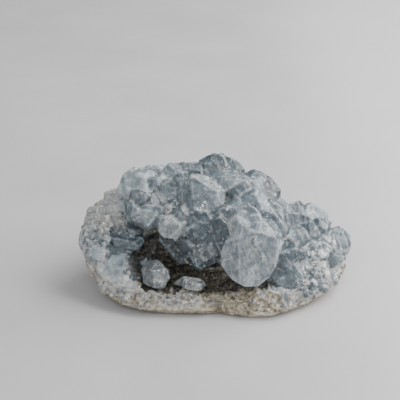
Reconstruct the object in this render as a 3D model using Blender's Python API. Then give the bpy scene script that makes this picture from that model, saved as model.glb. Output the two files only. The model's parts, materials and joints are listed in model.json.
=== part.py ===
"""A celestite crystal cluster: a broken piece of a geode, lying on the weathered rock that it grew in.

Units are metres, +Z is up and the front, where the hollow opens, faces -Y.
The origin is on the surface that the piece lies on, under the middle of its outline.

Three kinds of solid make the piece:
  host_rock        the thin bowl of rock round the outside, with its broken front edge
  crystal_cluster  the celestite that grew inward from the rock: its massive bed and every
                   crystal that stands on it, all grown together
  hollow_crystal_N the few crystals that stand on bare rock in the hollow, clear of the rest
"""

import math
import random

import bmesh
import bpy
from mathutils import Matrix, Vector, noise

MM = 0.001

# Driving dimensions of the rock bowl. Each list goes round the piece in steps of 15 degrees,
# anticlockwise from above. Its four rows start at the right, the back, the left and the front.
OUTLINE_RADIUS = [
    *(49.0, 49.5, 46.5, 41.0, 36.5, 33.5),
    *(32.5, 33.5, 36.5, 40.5, 45.0, 48.5),
    *(49.8, 49.5, 46.0, 41.0, 35.0, 31.0),
    *(29.5, 32.5, 37.5, 39.0, 42.0, 45.5),
]
FOOT_RADIUS = [
    *(33.0, 33.0, 31.0, 28.0, 25.0, 23.0),
    *(22.0, 22.0, 24.0, 26.0, 28.0, 29.0),
    *(29.0, 31.0, 33.0, 32.0, 28.5, 26.0),
    *(25.0, 28.0, 32.0, 32.0, 33.0, 33.0),
]
RIM_HEIGHT = [
    *(8.0, 9.0, 12.0, 16.0, 20.0, 23.0),
    *(25.0, 26.0, 26.0, 26.0, 25.0, 24.0),
    *(21.0, 12.0, 5.5, 3.8, 3.4, 3.6),
    *(3.6, 3.6, 3.6, 3.0, 3.2, 5.0),
]
WALL_THICKNESS = [
    *(2.4, 2.6, 3.0, 3.2, 3.5, 3.5),
    *(3.5, 3.5, 3.5, 3.2, 3.0, 2.6),
    *(2.4, 2.4, 2.6, 4.0, 8.0, 9.0),
    *(9.0, 8.0, 7.0, 4.0, 2.6, 2.4),
]
LIP_RISE = [
    *(0.6, 0.6, 0.6, 0.6, 0.6, 0.6),
    *(0.6, 0.6, 0.6, 0.6, 0.6, 0.6),
    *(0.6, 0.6, 1.0, 3.8, 5.0, 5.0),
    *(4.8, 4.6, 3.6, 1.2, 0.6, 0.6),
]
FLOOR_HEIGHT = [
    *(4.0, 4.0, 5.0, 6.0, 7.0, 7.0),
    *(7.0, 7.0, 7.0, 6.0, 6.0, 5.0),
    *(5.0, 5.0, 5.0, 8.5, 9.8, 9.8),
    *(9.8, 9.4, 6.5, 2.0, 2.0, 3.0),
]
FLOOR_AT_MIDDLE = 9.2
INNER_TOP = 13.0
CAVITY_BELOW_RIM = 0.8
FLAT_FOOT_SHARE = 0.35
ABOVE_EVERYTHING = 70.0
ROCK_LUMPS = 1.3
ROCK_LUMP_SIZE = 13.0
CLEARANCE = 0.3
BED_TOP = 12.0
ROOM_REACH = 25.0

# The massive celestite that the crystals stand on: middle, half-sizes and fineness of each
# swelling, in mm.
SWELLINGS = {
    "mound_core": ((-7, 8, 22), (27, 21, 17), 2),
    "mound_shoulder": ((-24, 6, 22), (17.5, 18, 13), 2),
    "left_wall": ((-41.0, -1.5, 15), (10.0, 13.5, 12.5), 3),
    "left_foot": ((-33.5, -10, 9), (8.5, 9, 6.5), 2),
    "right_bank": ((26.5, 4, 9), (20.5, 22, 11), 3),
    "right_core": ((20, 0, 19), (10, 12, 9), 2),
    "right_foot": ((30, -10, 6), (13, 12, 6), 2),
    "front_core": ((9, -8, 18), (11, 9, 11), 2),
}
SWELLING_ROUGHNESS = 0.9
SWELLING_GRAIN = 6.0

# The hollow: the open pocket at the front left with its mouth, the recess above it on the left
# and the low undercut that runs on to the right beneath the crystals.
POCKETS = {
    "pocket": ((-18.8, -13.5, 14.9), (13.0, 16.5, 8.0), 3),
    "recess": ((-33, -12, 22), (6.5, 9, 6), 2),
    "mouth": ((-21, -19, 11.8), (8.8, 9, 4.9), 2),
    "undercut": ((2, -22, 10.2), (16, 9, 3.2), 2),
}
POCKET_SQUARENESS = 0.62
POCKET_ROUGHNESS = 0.8
POCKET_GRAIN = 5.0

# How far each crystal has grown past its drawn size into its neighbours.
CROWDING = 1.17

# Share of the sloping faces that are broad. The rest are narrow.
BROAD_FACES = 0.36

# Angles between celestite's crystal faces, in degrees from the table face or from the long axis.
WEDGE_FACE = 39.4
DOME_FACE = 52.0
PRISM_FACE = 38.0

# The crystals that give the front its look. Each row: middle of the table face in mm (x, y, z),
# the way it faces (degrees to the right of the front, degrees above level, roll), depth in mm,
# then the half-width and half-height of an ordinary crystal, or the corners of the outline of
# one whose shape stands out, in mm right and up from the middle.
CRYSTALS = {
    "upper_left_slab": (
        (-28.5, 0, 38.8), (-14, 46, 0), 15,
        [(-6, -4.5), (-2, -6.5), (3.5, -5), (6, 0), (4.5, 4), (1, 5.5), (-2.5, 5), (-5.5, 1.5)],
    ),
    "ridge_left": ((-20.4, 4, 40.1), (-5, 62, 30), 12, (5.0, 4.0)),
    "ridge_left_small": ((-24.5, 5, 40.0), (-25, 60, 70), 10, (3.6, 3.0)),
    "ridge_middle": ((-15.0, 5, 40.6), (8, 58, 50), 11, (4.4, 3.6)),
    "upper_left_face": (
        (-17.6, -3, 36.2), (-4, 38, 0), 12,
        [(-3.5, -2), (-0.5, -4), (3, -2.5), (4, 0.8), (2.5, 3.8), (-1.2, 4.2), (-3.8, 2.2)],
    ),
    "upper_left_column": ((-22.6, -2, 36.8), (-14, 36, 4), 11, (3.0, 5.4)),
    "upper_left_blade": ((-12.3, -4, 37.0), (6, 38, 8), 10, (2.8, 5.8)),
    "great_face": (
        (-4.5, -7, 36.8), (2, 40, 0), 15,
        [(-6.6, -2), (-4, -6), (-0.7, -8), (3, -7.4), (6, -4.6), (6.4, 0.5),
         (4.8, 4.4), (0.5, 7), (-4, 7.2), (-7, 2.6)],
    ),
    "great_face_left": ((-10.4, -5, 33.6), (-10, 20, 30), 9, (3.6, 3.4)),
    "upper_right_face": (
        (10.2, -9, 34.0), (12, 42, 0), 14,
        [(-8, -1.6), (-4, -4.2), (0.6, -5.4), (5, -4.2), (8, -2.4), (7, 1.4),
         (5.2, 5), (-0.5, 4.4), (-5.6, 1.8)],
    ),
    "upper_right_table": (
        (4.6, 0, 40.4), (6, 62, 0), 13,
        [(-6, -2), (-1, -4.5), (4, -4.8), (6.5, -1), (4.5, 3), (-1.5, 4.5), (-5.5, 2.5)],
    ),
    "upper_right_end": ((13.5, -2, 38.0), (34, 50, -10), 12, (4.4, 5.0)),
    "upper_right_small": ((8.2, -4.2, 37.9), (10, 52, 30), 9, (3.4, 3.0)),
    "peak_crystal": (
        (-1.5, 7, 41.6), (-2, 36, 0), 14,
        [(-5.6, -1.5), (-3.4, -3.6), (3.5, -3.6), (5.4, -0.5), (3, 3.2), (-1.4, 3.8), (-4.6, 2)],
    ),
    "peak_top": ((-0.5, 10.0, 42.9), (10, 64, 16), 12, (5.2, 4.0)),
    "peak_right": ((6.0, 8, 40.6), (22, 48, 40), 12, (4.8, 4.2)),
    "peak_left": ((-10.5, 8, 41.4), (-20, 58, 6), 12, (5.2, 3.4)),
    "peak_back": ((4.0, 15, 40.6), (150, 52, 20), 12, (6.0, 5.4)),
    "left_blue_face": (
        (-28.0, -6, 34.2), (-14, 30, 0), 11,
        [(-3.6, -1), (-2.4, -3.2), (1.8, -3.6), (4, -1), (3.4, 2), (0.4, 3.4), (-2.8, 3)],
    ),
    "left_dark_face": ((-23.0, -8, 33.2), (10, 22, 40), 10, (3.8, 3.4)),
    "left_pale_point": (
        (-24.8, -11, 30.2), (-6, 24, 0), 11,
        [(-5, -0.6), (-3, -3.2), (0, -4.6), (3.2, -3.2), (5, -0.4), (4.4, 2.8), (-1, 3.4), (-4.4, 2.2)],
    ),
    "left_narrow": ((-31.2, -8, 29.4), (-30, 14, 4), 9, (2.0, 4.0)),
    "left_underside": ((-25.4, -8, 24.2), (-10, -22, 20), 10, (6.0, 4.4)),
    "white_crystal": (
        (-17.4, -15, 27.0), (-18, 14, 0), 10,
        [(-4, -0.6), (-1.5, -2.8), (2.4, -3.2), (4.6, -1), (3.6, 2), (0, 4), (-3, 3.2)],
    ),
    "white_neighbour": ((-12.4, -15.2, 24.8), (-2, 4, 22), 10, (4.2, 4.0)),
    "small_above_white": ((-13.0, -12, 31.2), (-6, 34, 50), 10, (4.0, 3.4)),
    "round_face": (
        (-6.1, -17, 27.4), (-6, 14, 0), 12,
        [(-4.8, 0.2), (-3.8, -3.2), (-0.8, -5.4), (3, -5), (5, -0.8), (4.2, 2.6), (1.8, 5.2),
         (-1.4, 5.4), (-4, 3.4)],
    ),
    "lens_face": (
        (0.4, -19.2, 25.2), (-8, 10, 0), 12,
        [(-3.4, -2.5), (-2.2, -5.4), (0.4, -7), (2.8, -4.6), (3.8, 0.6), (2.4, 4.8), (-0.2, 7.2),
         (-2.8, 5.8), (-3.6, 1.6)],
    ),
    "lens_nub": ((1.0, -13.5, 33.0), (0, 46, 20), 10, (3.4, 3.0)),
    "great_front": (
        (11.2, -22, 22.6), (8, 18, 0), 15,
        [(-8.6, -4.6), (-6, -8.8), (-2, -11.4), (2, -11.4), (5.4, -9), (8.2, -4.6), (9, 0.6),
         (7, 5.4), (3, 10), (-1.6, 11.6), (-6, 9), (-8.4, 3)],
    ),
    "great_front_side": ((17.6, -18.5, 25.0), (36, 26, 24), 12, (5.2, 6.0)),
    "great_front_top": ((8.4, -16.5, 32.0), (4, 50, 16), 11, (6.0, 4.8)),
    "hanging_blade": (
        (-16.4, -15, 20.0), (-24, -8, 0), 9,
        [(1.5, -6.4), (4.4, -6), (4.6, -3), (1.6, 1.6), (-2, 4.4), (-4.4, 4.2), (-4.2, 1)],
    ),
    "low_blue": (
        (-7.0, -18, 17.6), (-10, -2, 0), 10,
        [(-5.4, 0), (-3.4, -4), (0.8, -5.4), (4.2, -3), (4.8, 1.4), (2, 4.6), (-3, 4)],
    ),
    "low_blue_left": ((-12.0, -16.6, 19.4), (-24, -8, 36), 9, (3.4, 4.2)),
    "low_blue_right": ((-1.4, -18.2, 17.6), (8, -4, 18), 10, (3.6, 4.0)),
    "right_diamond": (
        (24.6, -18.4, 18.6), (12, 14, 0), 12,
        [(-6, 0.4), (-3.6, -3.8), (0.4, -5.6), (4, -3.6), (6, -1), (4.4, 2.6), (1.2, 4.6), (-3, 4)],
    ),
    "right_low_pale": ((22.9, -20.8, 11.4), (8, 24, 38), 12, (6.2, 5.2)),
    "right_low_inner": ((29.0, -16.6, 12.4), (24, 30, 12), 10, (4.2, 4.2)),
    "back_right_tall": (
        (18.2, 6, 31.5), (34, 30, 0), 15,
        [(-5.6, -4), (-2, -8), (3.4, -6.4), (6.2, -1), (5, 4), (1.4, 7.4), (-3.4, 7), (-6, 2)],
    ),
    "back_right_step": ((14.0, 6, 37.6), (24, 52, 34), 10, (3.6, 3.4)),
    "back_right_small": ((24.4, 3, 27.4), (40, 44, 22), 10, (3.6, 3.4)),
    "right_back_low": ((30.5, 5, 24.2), (14, 58, 12), 12, (5.2, 4.4)),
    "right_back_pale": ((36.4, 5, 22.0), (34, 48, 28), 12, (4.6, 5.0)),
    "right_smooth": (
        (28.6, -5, 24.8), (16, 46, 0), 12,
        [(-7, 0.6), (-3.6, -2.6), (1, -4), (4, -4), (6.4, -1.4), (4.6, 2), (0.4, 3.6), (-4.6, 3.6)],
    ),
    "right_smooth_side": ((21.0, -10, 27.0), (10, 40, 10), 11, (4.6, 4.0)),
    "right_brown": ((27.8, -10.4, 21.4), (22, 32, 12), 10, (4.6, 3.6)),
    "right_small_point": ((38.5, 0, 20.6), (28, 40, 42), 10, (3.4, 3.6)),
    "right_small_dark": ((33.6, -5, 19.6), (24, 28, 18), 10, (3.8, 3.8)),
    "right_end": (
        (45.6, 0.4, 14.2), (26, 28, 0), 12,
        [(-3, 0), (-1.6, -4), (2, -4.2), (4, -1), (3.2, 2.8), (0, 4.8), (-3, 3.6)],
    ),
    "right_end_small": ((46.4, 5.5, 13.8), (52, 40, 30), 10, (3.8, 3.6)),
    "right_inner_pale": ((39.4, -3, 15.6), (22, 34, 24), 11, (4.2, 4.2)),
    "right_rim_upper": ((34.0, -9, 13.6), (20, 34, 14), 11, (4.6, 4.4)),
    "right_rim_lower": ((36.2, -12, 9.4), (22, 30, 36), 11, (5.2, 4.0)),
    "between_upper": ((18.6, -14.0, 28.4), (12, 40, 28), 11, (4.0, 3.6)),
    "between_lower": ((20.6, -15.4, 23.6), (26, 24, 8), 10, (3.8, 3.8)),
    "between_back": ((20.2, -5.5, 30.6), (24, 46, 44), 11, (4.2, 4.0)),
    "recess_low": (
        (-32.6, -7.6, 18.4), (6, 18, -6), 11,
        [(-6, -0.6), (-4.6, -3), (0, -3.6), (4.4, -2.6), (5.8, 0.2), (4.6, 2.8), (-1, 3.4), (-5, 2.2)],
    ),
    "recess_high": ((-34.6, -4.5, 24.4), (10, 14, 30), 10, (5.0, 4.4)),
    "recess_side": ((-28.8, -6.5, 25.0), (-12, 4, 20), 9, (4.4, 3.6)),
    "wall_knob": ((-37.0, 0, 32.6), (-20, 44, 12), 11, (4.2, 4.2)),
    "wall_knob_left": ((-40.6, 0.5, 29.6), (-36, 42, 36), 10, (3.6, 3.4)),
    "wall_knob_low": ((-36.0, -4.0, 29.2), (-8, 22, 24), 9, (3.6, 3.2)),
    "wall_top_left": ((-44.4, -2.6, 26.6), (-38, 38, 18), 9, (3.4, 3.2)),
    "wall_top_outer": ((-45.2, 2.6, 24.0), (-50, 36, 8), 8, (3.0, 3.0)),
}

# Smaller crystals that fill the ground between and behind the ones above.
FILL_SEED = 20
FILL_COUNT = 80
FILL_TRIES = 6000
FILL_HALF_WIDTH = (2.0, 4.4)
FILL_DEPTH = 8.0
FILL_TILT = 24.0
FILL_STANDS_OUT = 1.6
FILL_LOWEST = 11.0
FILL_SPACING = 0.85
FILL_NO_FURTHER_FORWARD = -2.0
RIGHT_BANK_FROM = 24.0
RIGHT_BANK_FORWARD = -13.0
FILL_SWELLINGS = {
    "mound_core": 0.44,
    "mound_shoulder": 0.22,
    "right_bank": 0.24,
    "left_wall": 0.10,
}

# Crystals that stand alone on the rock in the hollow, as in CRYSTALS.
HOLLOW_CRYSTALS = {
    "hollow_crystal_clear": ((-22.0, -20.8, 11.4), (0, 22, 8), 6, (4.3, 4.4)),
    "hollow_crystal_pale": ((-8.7, -23.0, 8.8), (8, 34, 76), 7, (3.0, 5.2)),
    "hollow_crystal_dark": ((-25.2, -12.8, 11.0), (2, 20, 30), 5.5, (2.6, 2.6)),
}

# Moves the shapes so that the middle of the finished outline is over the origin.
CENTRING = (0.11, -0.62, 0.0)

TAU = math.tau


def clear_scene():
    for obj in list(bpy.data.objects):
        bpy.data.objects.remove(obj)


def collection(name):
    made = bpy.data.collections.new(name)
    bpy.context.scene.collection.children.link(made)
    return made


def material(name, colour, roughness):
    made = bpy.data.materials.new(name)
    made.use_nodes = True
    shader = made.node_tree.nodes["Principled BSDF"]
    shader.inputs["Base Color"].default_value = (*colour, 1.0)
    shader.inputs["Roughness"].default_value = roughness
    shader.inputs["Metallic"].default_value = 0.0
    return made


def new_object(name, bm, where, helper=False):
    """Turns a bmesh that was made in mm into an object in a collection. Helpers are cutters
    and other shapes that only take part in a Boolean."""
    bmesh.ops.translate(bm, vec=Vector(CENTRING), verts=bm.verts[:])
    bmesh.ops.scale(bm, vec=Vector((MM, MM, MM)), verts=bm.verts[:])
    bmesh.ops.recalc_face_normals(bm, faces=bm.faces[:])
    mesh = bpy.data.meshes.new(name)
    bm.to_mesh(mesh)
    bm.free()
    obj = bpy.data.objects.new(name, mesh)
    where.objects.link(obj)
    if helper:
        obj.hide_render = True
        obj.display_type = "WIRE"
    return obj


def combine(target, operation, other):
    """Adds a Boolean with an object or with every object of a collection."""
    modifier = target.modifiers.new(f"{operation.lower()} {other.name}", "BOOLEAN")
    modifier.operation = operation
    modifier.solver = "EXACT"
    if isinstance(other, bpy.types.Collection):
        modifier.operand_type = "COLLECTION"
        modifier.collection = other
    else:
        modifier.object = other


def round_the_piece(values, angle):
    """The value at this angle of a list that goes once round the piece."""
    place = (angle % TAU) / TAU * len(values)
    first = int(place) % len(values)
    second = (first + 1) % len(values)
    share = place - int(place)
    return values[first] * (1 - share) + values[second] * share


def lumps(point, size, seed):
    """Smooth noise from about -1 to 1, with lumps of this size."""
    shifted = point / size + Vector((seed * 7.3, seed * 3.1, seed * 5.7))
    return noise.noise(shifted) + 0.5 * noise.noise(shifted * 2.1)


def outward(angle):
    return Vector((math.cos(angle), math.sin(angle), 0.0))


def shaped_sphere(name, where, place, segments, rings, helper=False):
    """A sphere whose points are moved to where a function puts them. The function gets the
    angle round the piece and the turn: 0 at the bottom, 1 at the equator and 2 at the top."""
    bm = bmesh.new()
    bmesh.ops.create_uvsphere(bm, u_segments=segments, v_segments=rings, radius=1.0)
    for vert in bm.verts:
        direction = vert.co.normalized()
        angle = math.atan2(direction.y, direction.x)
        turn = math.acos(max(-1.0, min(1.0, -direction.z))) / (math.pi / 2)
        vert.co = place(angle, turn)
    bmesh.ops.remove_doubles(bm, verts=bm.verts[:], dist=0.0001)
    bmesh.ops.triangulate(bm, faces=bm.faces[:])
    return new_object(name, bm, where, helper)


# The rock bowl


def bowl_point(angle, turn, grow):
    """The outside of the rock: a flat foot, a curved side up to the rim, and the rim itself."""
    radius = round_the_piece(OUTLINE_RADIUS, angle)
    foot = round_the_piece(FOOT_RADIUS, angle)
    rim = round_the_piece(RIM_HEIGHT, angle)
    if turn <= FLAT_FOOT_SHARE:
        return outward(angle) * foot * turn / FLAT_FOOT_SHARE - Vector((0, 0, grow))
    if turn <= 1.0:
        share = (turn - FLAT_FOOT_SHARE) / (1 - FLAT_FOOT_SHARE) * math.pi / 2
        out = foot + (radius - foot) * math.sin(share)
        height = rim * (1 - math.cos(share))
    else:
        share = (turn - 1) * math.pi / 2
        out = radius * math.cos(share)
        height = rim + round_the_piece(LIP_RISE, angle) * min(1.0, 3 * math.sin(share))
        height += max(0.0, INNER_TOP - height) * max(0.0, min(1.0, (share - 0.35) / 0.4))
    point = outward(angle) * out + Vector((0, 0, height))
    swell = ROCK_LUMPS * min(1.0, height / 3) * lumps(point, ROCK_LUMP_SIZE, 1)
    point += outward(angle) * (swell + grow)
    if turn > 1:
        point.z += 0.4 * swell + grow
    return point


def cavity_point(angle, turn, grow):
    """The inside of the rock, which is open upward."""
    radius = round_the_piece(OUTLINE_RADIUS, angle) - round_the_piece(WALL_THICKNESS, angle)
    if turn > 1.0:
        out = radius * math.sin((2 - turn) * math.pi / 2) + grow
        return outward(angle) * out + Vector((0, 0, ABOVE_EVERYTHING))
    share = turn * math.pi / 2
    far = math.sin(share) ** 3
    floor = FLOOR_AT_MIDDLE * (1 - far) + round_the_piece(FLOOR_HEIGHT, angle) * far
    side = (1 - math.cos(share)) ** 3
    wall_top = round_the_piece(RIM_HEIGHT, angle) - CAVITY_BELOW_RIM
    height = floor + max(0.0, wall_top - floor) * side
    point = outward(angle) * radius * math.sin(share) + Vector((0, 0, height))
    rough = 0.6 * ROCK_LUMPS * lumps(point, 0.6 * ROCK_LUMP_SIZE, 2) * (1 - 0.5 * side)
    point += outward(angle) * grow * side
    point.z += rough - grow
    return point


def make_rock(name, where, cutters, clearance=0.0, helper=False):
    """The rock bowl. With a clearance, every surface stands that much further out."""
    rock = shaped_sphere(name, where, lambda a, t: bowl_point(a, t, clearance), 34, 14, helper)
    cavity = shaped_sphere(
        name + "_cavity", cutters, lambda a, t: cavity_point(a, t, -clearance), 32, 14, helper=True
    )
    combine(rock, "DIFFERENCE", cavity)
    return rock


# The massive celestite and the hollow in it


def rim_top(angle):
    """The height of the rock at the inner edge of its rim."""
    rim = round_the_piece(RIM_HEIGHT, angle)
    return max(rim + round_the_piece(LIP_RISE, angle), round_the_piece(FLOOR_HEIGHT, angle))


def bed_point(angle, turn):
    """The layer of celestite that lines the rock: a low dome, which reaches down past the
    rock to be cut back to it."""
    radius = round_the_piece(OUTLINE_RADIUS, angle) - 0.7 * round_the_piece(WALL_THICKNESS, angle)
    if turn <= 1.0:
        return outward(angle) * radius * turn - Vector((0, 0, 2.0))
    share = (2 - turn) * math.pi / 2
    height = rim_top(angle) + (BED_TOP - rim_top(angle)) * math.cos(share)
    return outward(angle) * radius * math.sin(share) + Vector((0, 0, height))


def room_point(angle, turn):
    """The room that the celestite may fill: down to the middle of the rock's wall, and
    outward over its rim."""
    radius = round_the_piece(OUTLINE_RADIUS, angle)
    wall = round_the_piece(WALL_THICKNESS, angle)
    if turn <= 1.0:
        return cavity_point(angle, turn, 0.8)
    if turn < 1.2:
        return outward(angle) * (radius - 0.5 * wall) + Vector((0, 0, rim_top(angle) + 0.4))
    if turn < 1.3:
        return outward(angle) * (radius + ROOM_REACH) + Vector((0, 0, rim_top(angle) - 1.0))
    out = (radius + ROOM_REACH) * min(1.0, 2 * (2 - turn))
    return outward(angle) * out + Vector((0, 0, ABOVE_EVERYTHING))


def swelling(name, where, row, roughness, grain, seed, shrink=0.0, squareness=1.0):
    """A lumpy ellipsoid: middle, half-sizes and fineness. Below 1, the squareness flattens
    its floor, roof and sides."""
    middle, half, fineness = Vector(row[0]), Vector(row[1]), row[2]
    bm = bmesh.new()
    bmesh.ops.create_icosphere(bm, subdivisions=fineness, radius=1.0)
    for vert in bm.verts:
        out = vert.co.normalized()
        squared = Vector([math.copysign(abs(c) ** squareness, c) for c in out])
        place = middle + Vector([c * h for c, h in zip(squared, half)])
        vert.co = place + out * (roughness * lumps(place, grain, seed) - shrink)
    return new_object(name, bm, where, helper=True)


def make_hollow(name, shrink=0.0):
    hollow = collection(name)
    for index, (pocket, row) in enumerate(POCKETS.items()):
        title = f"{name} {pocket}"
        seed = 20 + index
        shape = (row, POCKET_ROUGHNESS, POCKET_GRAIN, seed, shrink, POCKET_SQUARENESS)
        swelling(title, hollow, *shape)
    return hollow


# The crystals


def ordinary_planes(half_width, half_height, depth, dice):
    """The faces of an ordinary celestite crystal as (normal, distance) pairs, with the table
    face upward at z = 0. Like faces differ a little in size, as they do when crystals crowd."""
    wedge, dome, prism = (math.radians(a) for a in (WEDGE_FACE, DOME_FACE, PRISM_FACE))
    planes = [(Vector((0, 0, 1)), 0.0), (Vector((0, 0, -1)), depth)]
    for side in (1, -1):
        reach = half_width * dice.choice((dice.uniform(0.1, 0.5), dice.uniform(0.7, 0.95)))
        planes.append((Vector((side * math.sin(wedge), 0, math.cos(wedge))), reach * math.sin(wedge)))
        reach = half_height * dice.choice((dice.uniform(0.3, 0.6), dice.uniform(0.8, 0.95)))
        planes.append((Vector((0, side * math.sin(dome), math.cos(dome))), reach * math.sin(dome)))
        planes.append((Vector((side, 0, 0)), half_width * dice.uniform(0.92, 1.05)))
        planes.append((Vector((0, side, 0)), half_height * dice.uniform(0.95, 1.1)))
        for end in (1, -1):
            normal = Vector((side * math.cos(prism), end * math.sin(prism), 0))
            corner = abs(normal.x) * half_width + abs(normal.y) * half_height
            planes.append((normal, corner * dice.uniform(0.66, 0.82)))
    return planes


def outlined_planes(corners, depth, dice):
    """The faces of a crystal whose outline is given: its sides, and a sloping face of its own
    size between each side and the table face."""
    planes = [(Vector((0, 0, 1)), 0.0), (Vector((0, 0, -1)), depth)]
    size = max(math.hypot(x, y) for x, y in corners)
    for (x0, y0), (x1, y1) in zip(corners, corners[1:] + corners[:1]):
        side = Vector((y1 - y0, x0 - x1, 0)).normalized()
        reach = side.x * x0 + side.y * y0
        planes.append((side, reach))
        if dice.random() < BROAD_FACES:
            slope = math.radians(dice.uniform(22, 38))
            inset = size * dice.uniform(0.25, 0.5)
        else:
            slope = math.radians(dice.uniform(42, 60))
            inset = size * dice.uniform(0.02, 0.08)
        normal = side * math.sin(slope) + Vector((0, 0, math.cos(slope)))
        planes.append((normal, (reach - inset) * math.sin(slope)))
    return planes


def cut_crystal(planes, size):
    """A block cut down to the faces given."""
    bm = bmesh.new()
    bmesh.ops.create_cube(bm, size=size)
    for normal, distance in planes:
        cut = bmesh.ops.bisect_plane(
            bm,
            geom=bm.verts[:] + bm.edges[:] + bm.faces[:],
            dist=0.0001,
            plane_co=normal * distance,
            plane_no=normal,
            clear_outer=True,
        )
        edges = [item for item in cut["geom_cut"] if isinstance(item, bmesh.types.BMEdge)]
        if edges:
            bmesh.ops.contextual_create(bm, geom=edges)
    return bm


def facing_matrix(middle, facing):
    """The place and turn of a table face. With no turn it faces the front, -Y, with its
    width along +X."""
    yaw, pitch, roll = (math.radians(a) for a in facing)
    stand = Matrix.Rotation(math.pi / 2, 4, "X")
    turn = Matrix.Rotation(yaw, 4, "Z") @ Matrix.Rotation(-pitch, 4, "X") @ stand
    return Matrix.Translation(middle) @ turn @ Matrix.Rotation(roll, 4, "Z")


def make_crystal(name, where, row, dice, helper=True):
    middle, facing, depth, shape = row
    if isinstance(shape, list):
        planes = outlined_planes([(x * CROWDING, y * CROWDING) for x, y in shape], depth, dice)
    else:
        planes = ordinary_planes(*[v * CROWDING for v in shape], depth, dice)
    bm = cut_crystal(planes, 4 * max(depth, 12))
    bmesh.ops.transform(bm, matrix=facing_matrix(Vector(middle), facing), verts=bm.verts[:])
    return new_object(name, bm, where, helper)


def half_size(shape):
    if isinstance(shape, list):
        return 0.8 * max(math.hypot(x, y) for x, y in shape)
    return max(shape)


def facing_of(normal):
    """(degrees to the right of the front, degrees above level) of a direction."""
    yaw = math.degrees(math.atan2(normal.x, -normal.y))
    return yaw, math.degrees(math.asin(max(-1.0, min(1.0, normal.z))))


def has_fill(place):
    if place.z < FILL_LOWEST:
        return False
    if place.x > RIGHT_BANK_FROM:
        return place.y > RIGHT_BANK_FORWARD
    return place.y > FILL_NO_FURTHER_FORWARD


def fill_rows(dice):
    """Rows for the small crystals: they stand out of the swellings wherever there is room
    between the named crystals, and never in the hollow or on the front below the ridge."""
    taken = [(Vector(row[0]), half_size(row[3])) for row in CRYSTALS.values()]
    rows = []
    names, weights = list(FILL_SWELLINGS), list(FILL_SWELLINGS.values())
    for _ in range(FILL_TRIES):
        if len(rows) == FILL_COUNT:
            break
        middle, half, _ = SWELLINGS[dice.choices(names, weights)[0]]
        out = Vector((dice.gauss(0, 1), dice.gauss(0, 1), abs(dice.gauss(0, 1)) - 0.25)).normalized()
        size = dice.uniform(*FILL_HALF_WIDTH)
        place = Vector([m + o * h for m, o, h in zip(middle, out, half)])
        normal = Vector([o / h for o, h in zip(out, half)]).normalized()
        tilt, roll = dice.uniform(-FILL_TILT, FILL_TILT), dice.uniform(0, 180)
        if not has_fill(place):
            continue
        if any((place - other).length < FILL_SPACING * (size + reach) for other, reach in taken):
            continue
        taken.append((place, size))
        yaw, pitch = facing_of(normal)
        face = place + normal * FILL_STANDS_OUT
        rows.append((face, (yaw + tilt, pitch + 0.5 * tilt, roll), FILL_DEPTH, (size, size * 1.1)))
    return rows


def main():
    clear_scene()
    piece = collection("celestite crystal cluster")
    cutters = collection("cutters")
    cores = collection("massive celestite")
    crystals = collection("crystals")
    hollow = make_hollow("hollow")
    small_hollow = make_hollow("hollow less the clearance", CLEARANCE)
    rock_brown = material("weathered_rock", (0.36, 0.33, 0.27), 0.9)
    celestite = material("celestite", (0.42, 0.50, 0.55), 0.2)
    clear_celestite = material("clear_celestite", (0.50, 0.53, 0.54), 0.15)

    rock = make_rock("host_rock", piece, cutters)
    combine(rock, "DIFFERENCE", hollow)
    rock.data.materials.append(rock_brown)
    roomy_rock = make_rock("rock_with_clearance", cutters, cutters, CLEARANCE, helper=True)
    combine(roomy_rock, "DIFFERENCE", small_hollow)
    room = shaped_sphere("room", cutters, room_point, 36, 16, helper=True)

    cluster = shaped_sphere("crystal_cluster", piece, bed_point, 40, 16)
    for index, (name, row) in enumerate(SWELLINGS.items()):
        swelling(name, cores, row, SWELLING_ROUGHNESS, SWELLING_GRAIN, index)
    dice = random.Random(FILL_SEED)
    for name, row in CRYSTALS.items():
        make_crystal(name, crystals, row, dice)
    for index, row in enumerate(fill_rows(dice)):
        make_crystal(f"fill_{index}", crystals, row, dice)
    combine(cluster, "UNION", cores)
    combine(cluster, "DIFFERENCE", hollow)
    combine(cluster, "UNION", crystals)
    combine(cluster, "INTERSECT", room)
    combine(cluster, "DIFFERENCE", roomy_rock)
    cluster.data.materials.append(celestite)

    for name, row in HOLLOW_CRYSTALS.items():
        lone = make_crystal(name, piece, row, dice, helper=False)
        combine(lone, "DIFFERENCE", roomy_rock)
        lone.data.materials.append(clear_celestite)


main()
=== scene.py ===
"""The look of a celestite crystal cluster: a broken piece of a geode, lying on its weathered rock.

It is put together as the piece grew: the rock outside, the massive celestite on it, the large
crystals, the small ones between them, and the few that stand alone in the hollow. Shapes are
worked out in millimetres and turned into metres at the end of each section.
"""

import json
import math
import random

import bmesh
import bpy
import numpy as np
from mathutils import Matrix, Vector, noise
from mathutils.bvhtree import BVHTree

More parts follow.
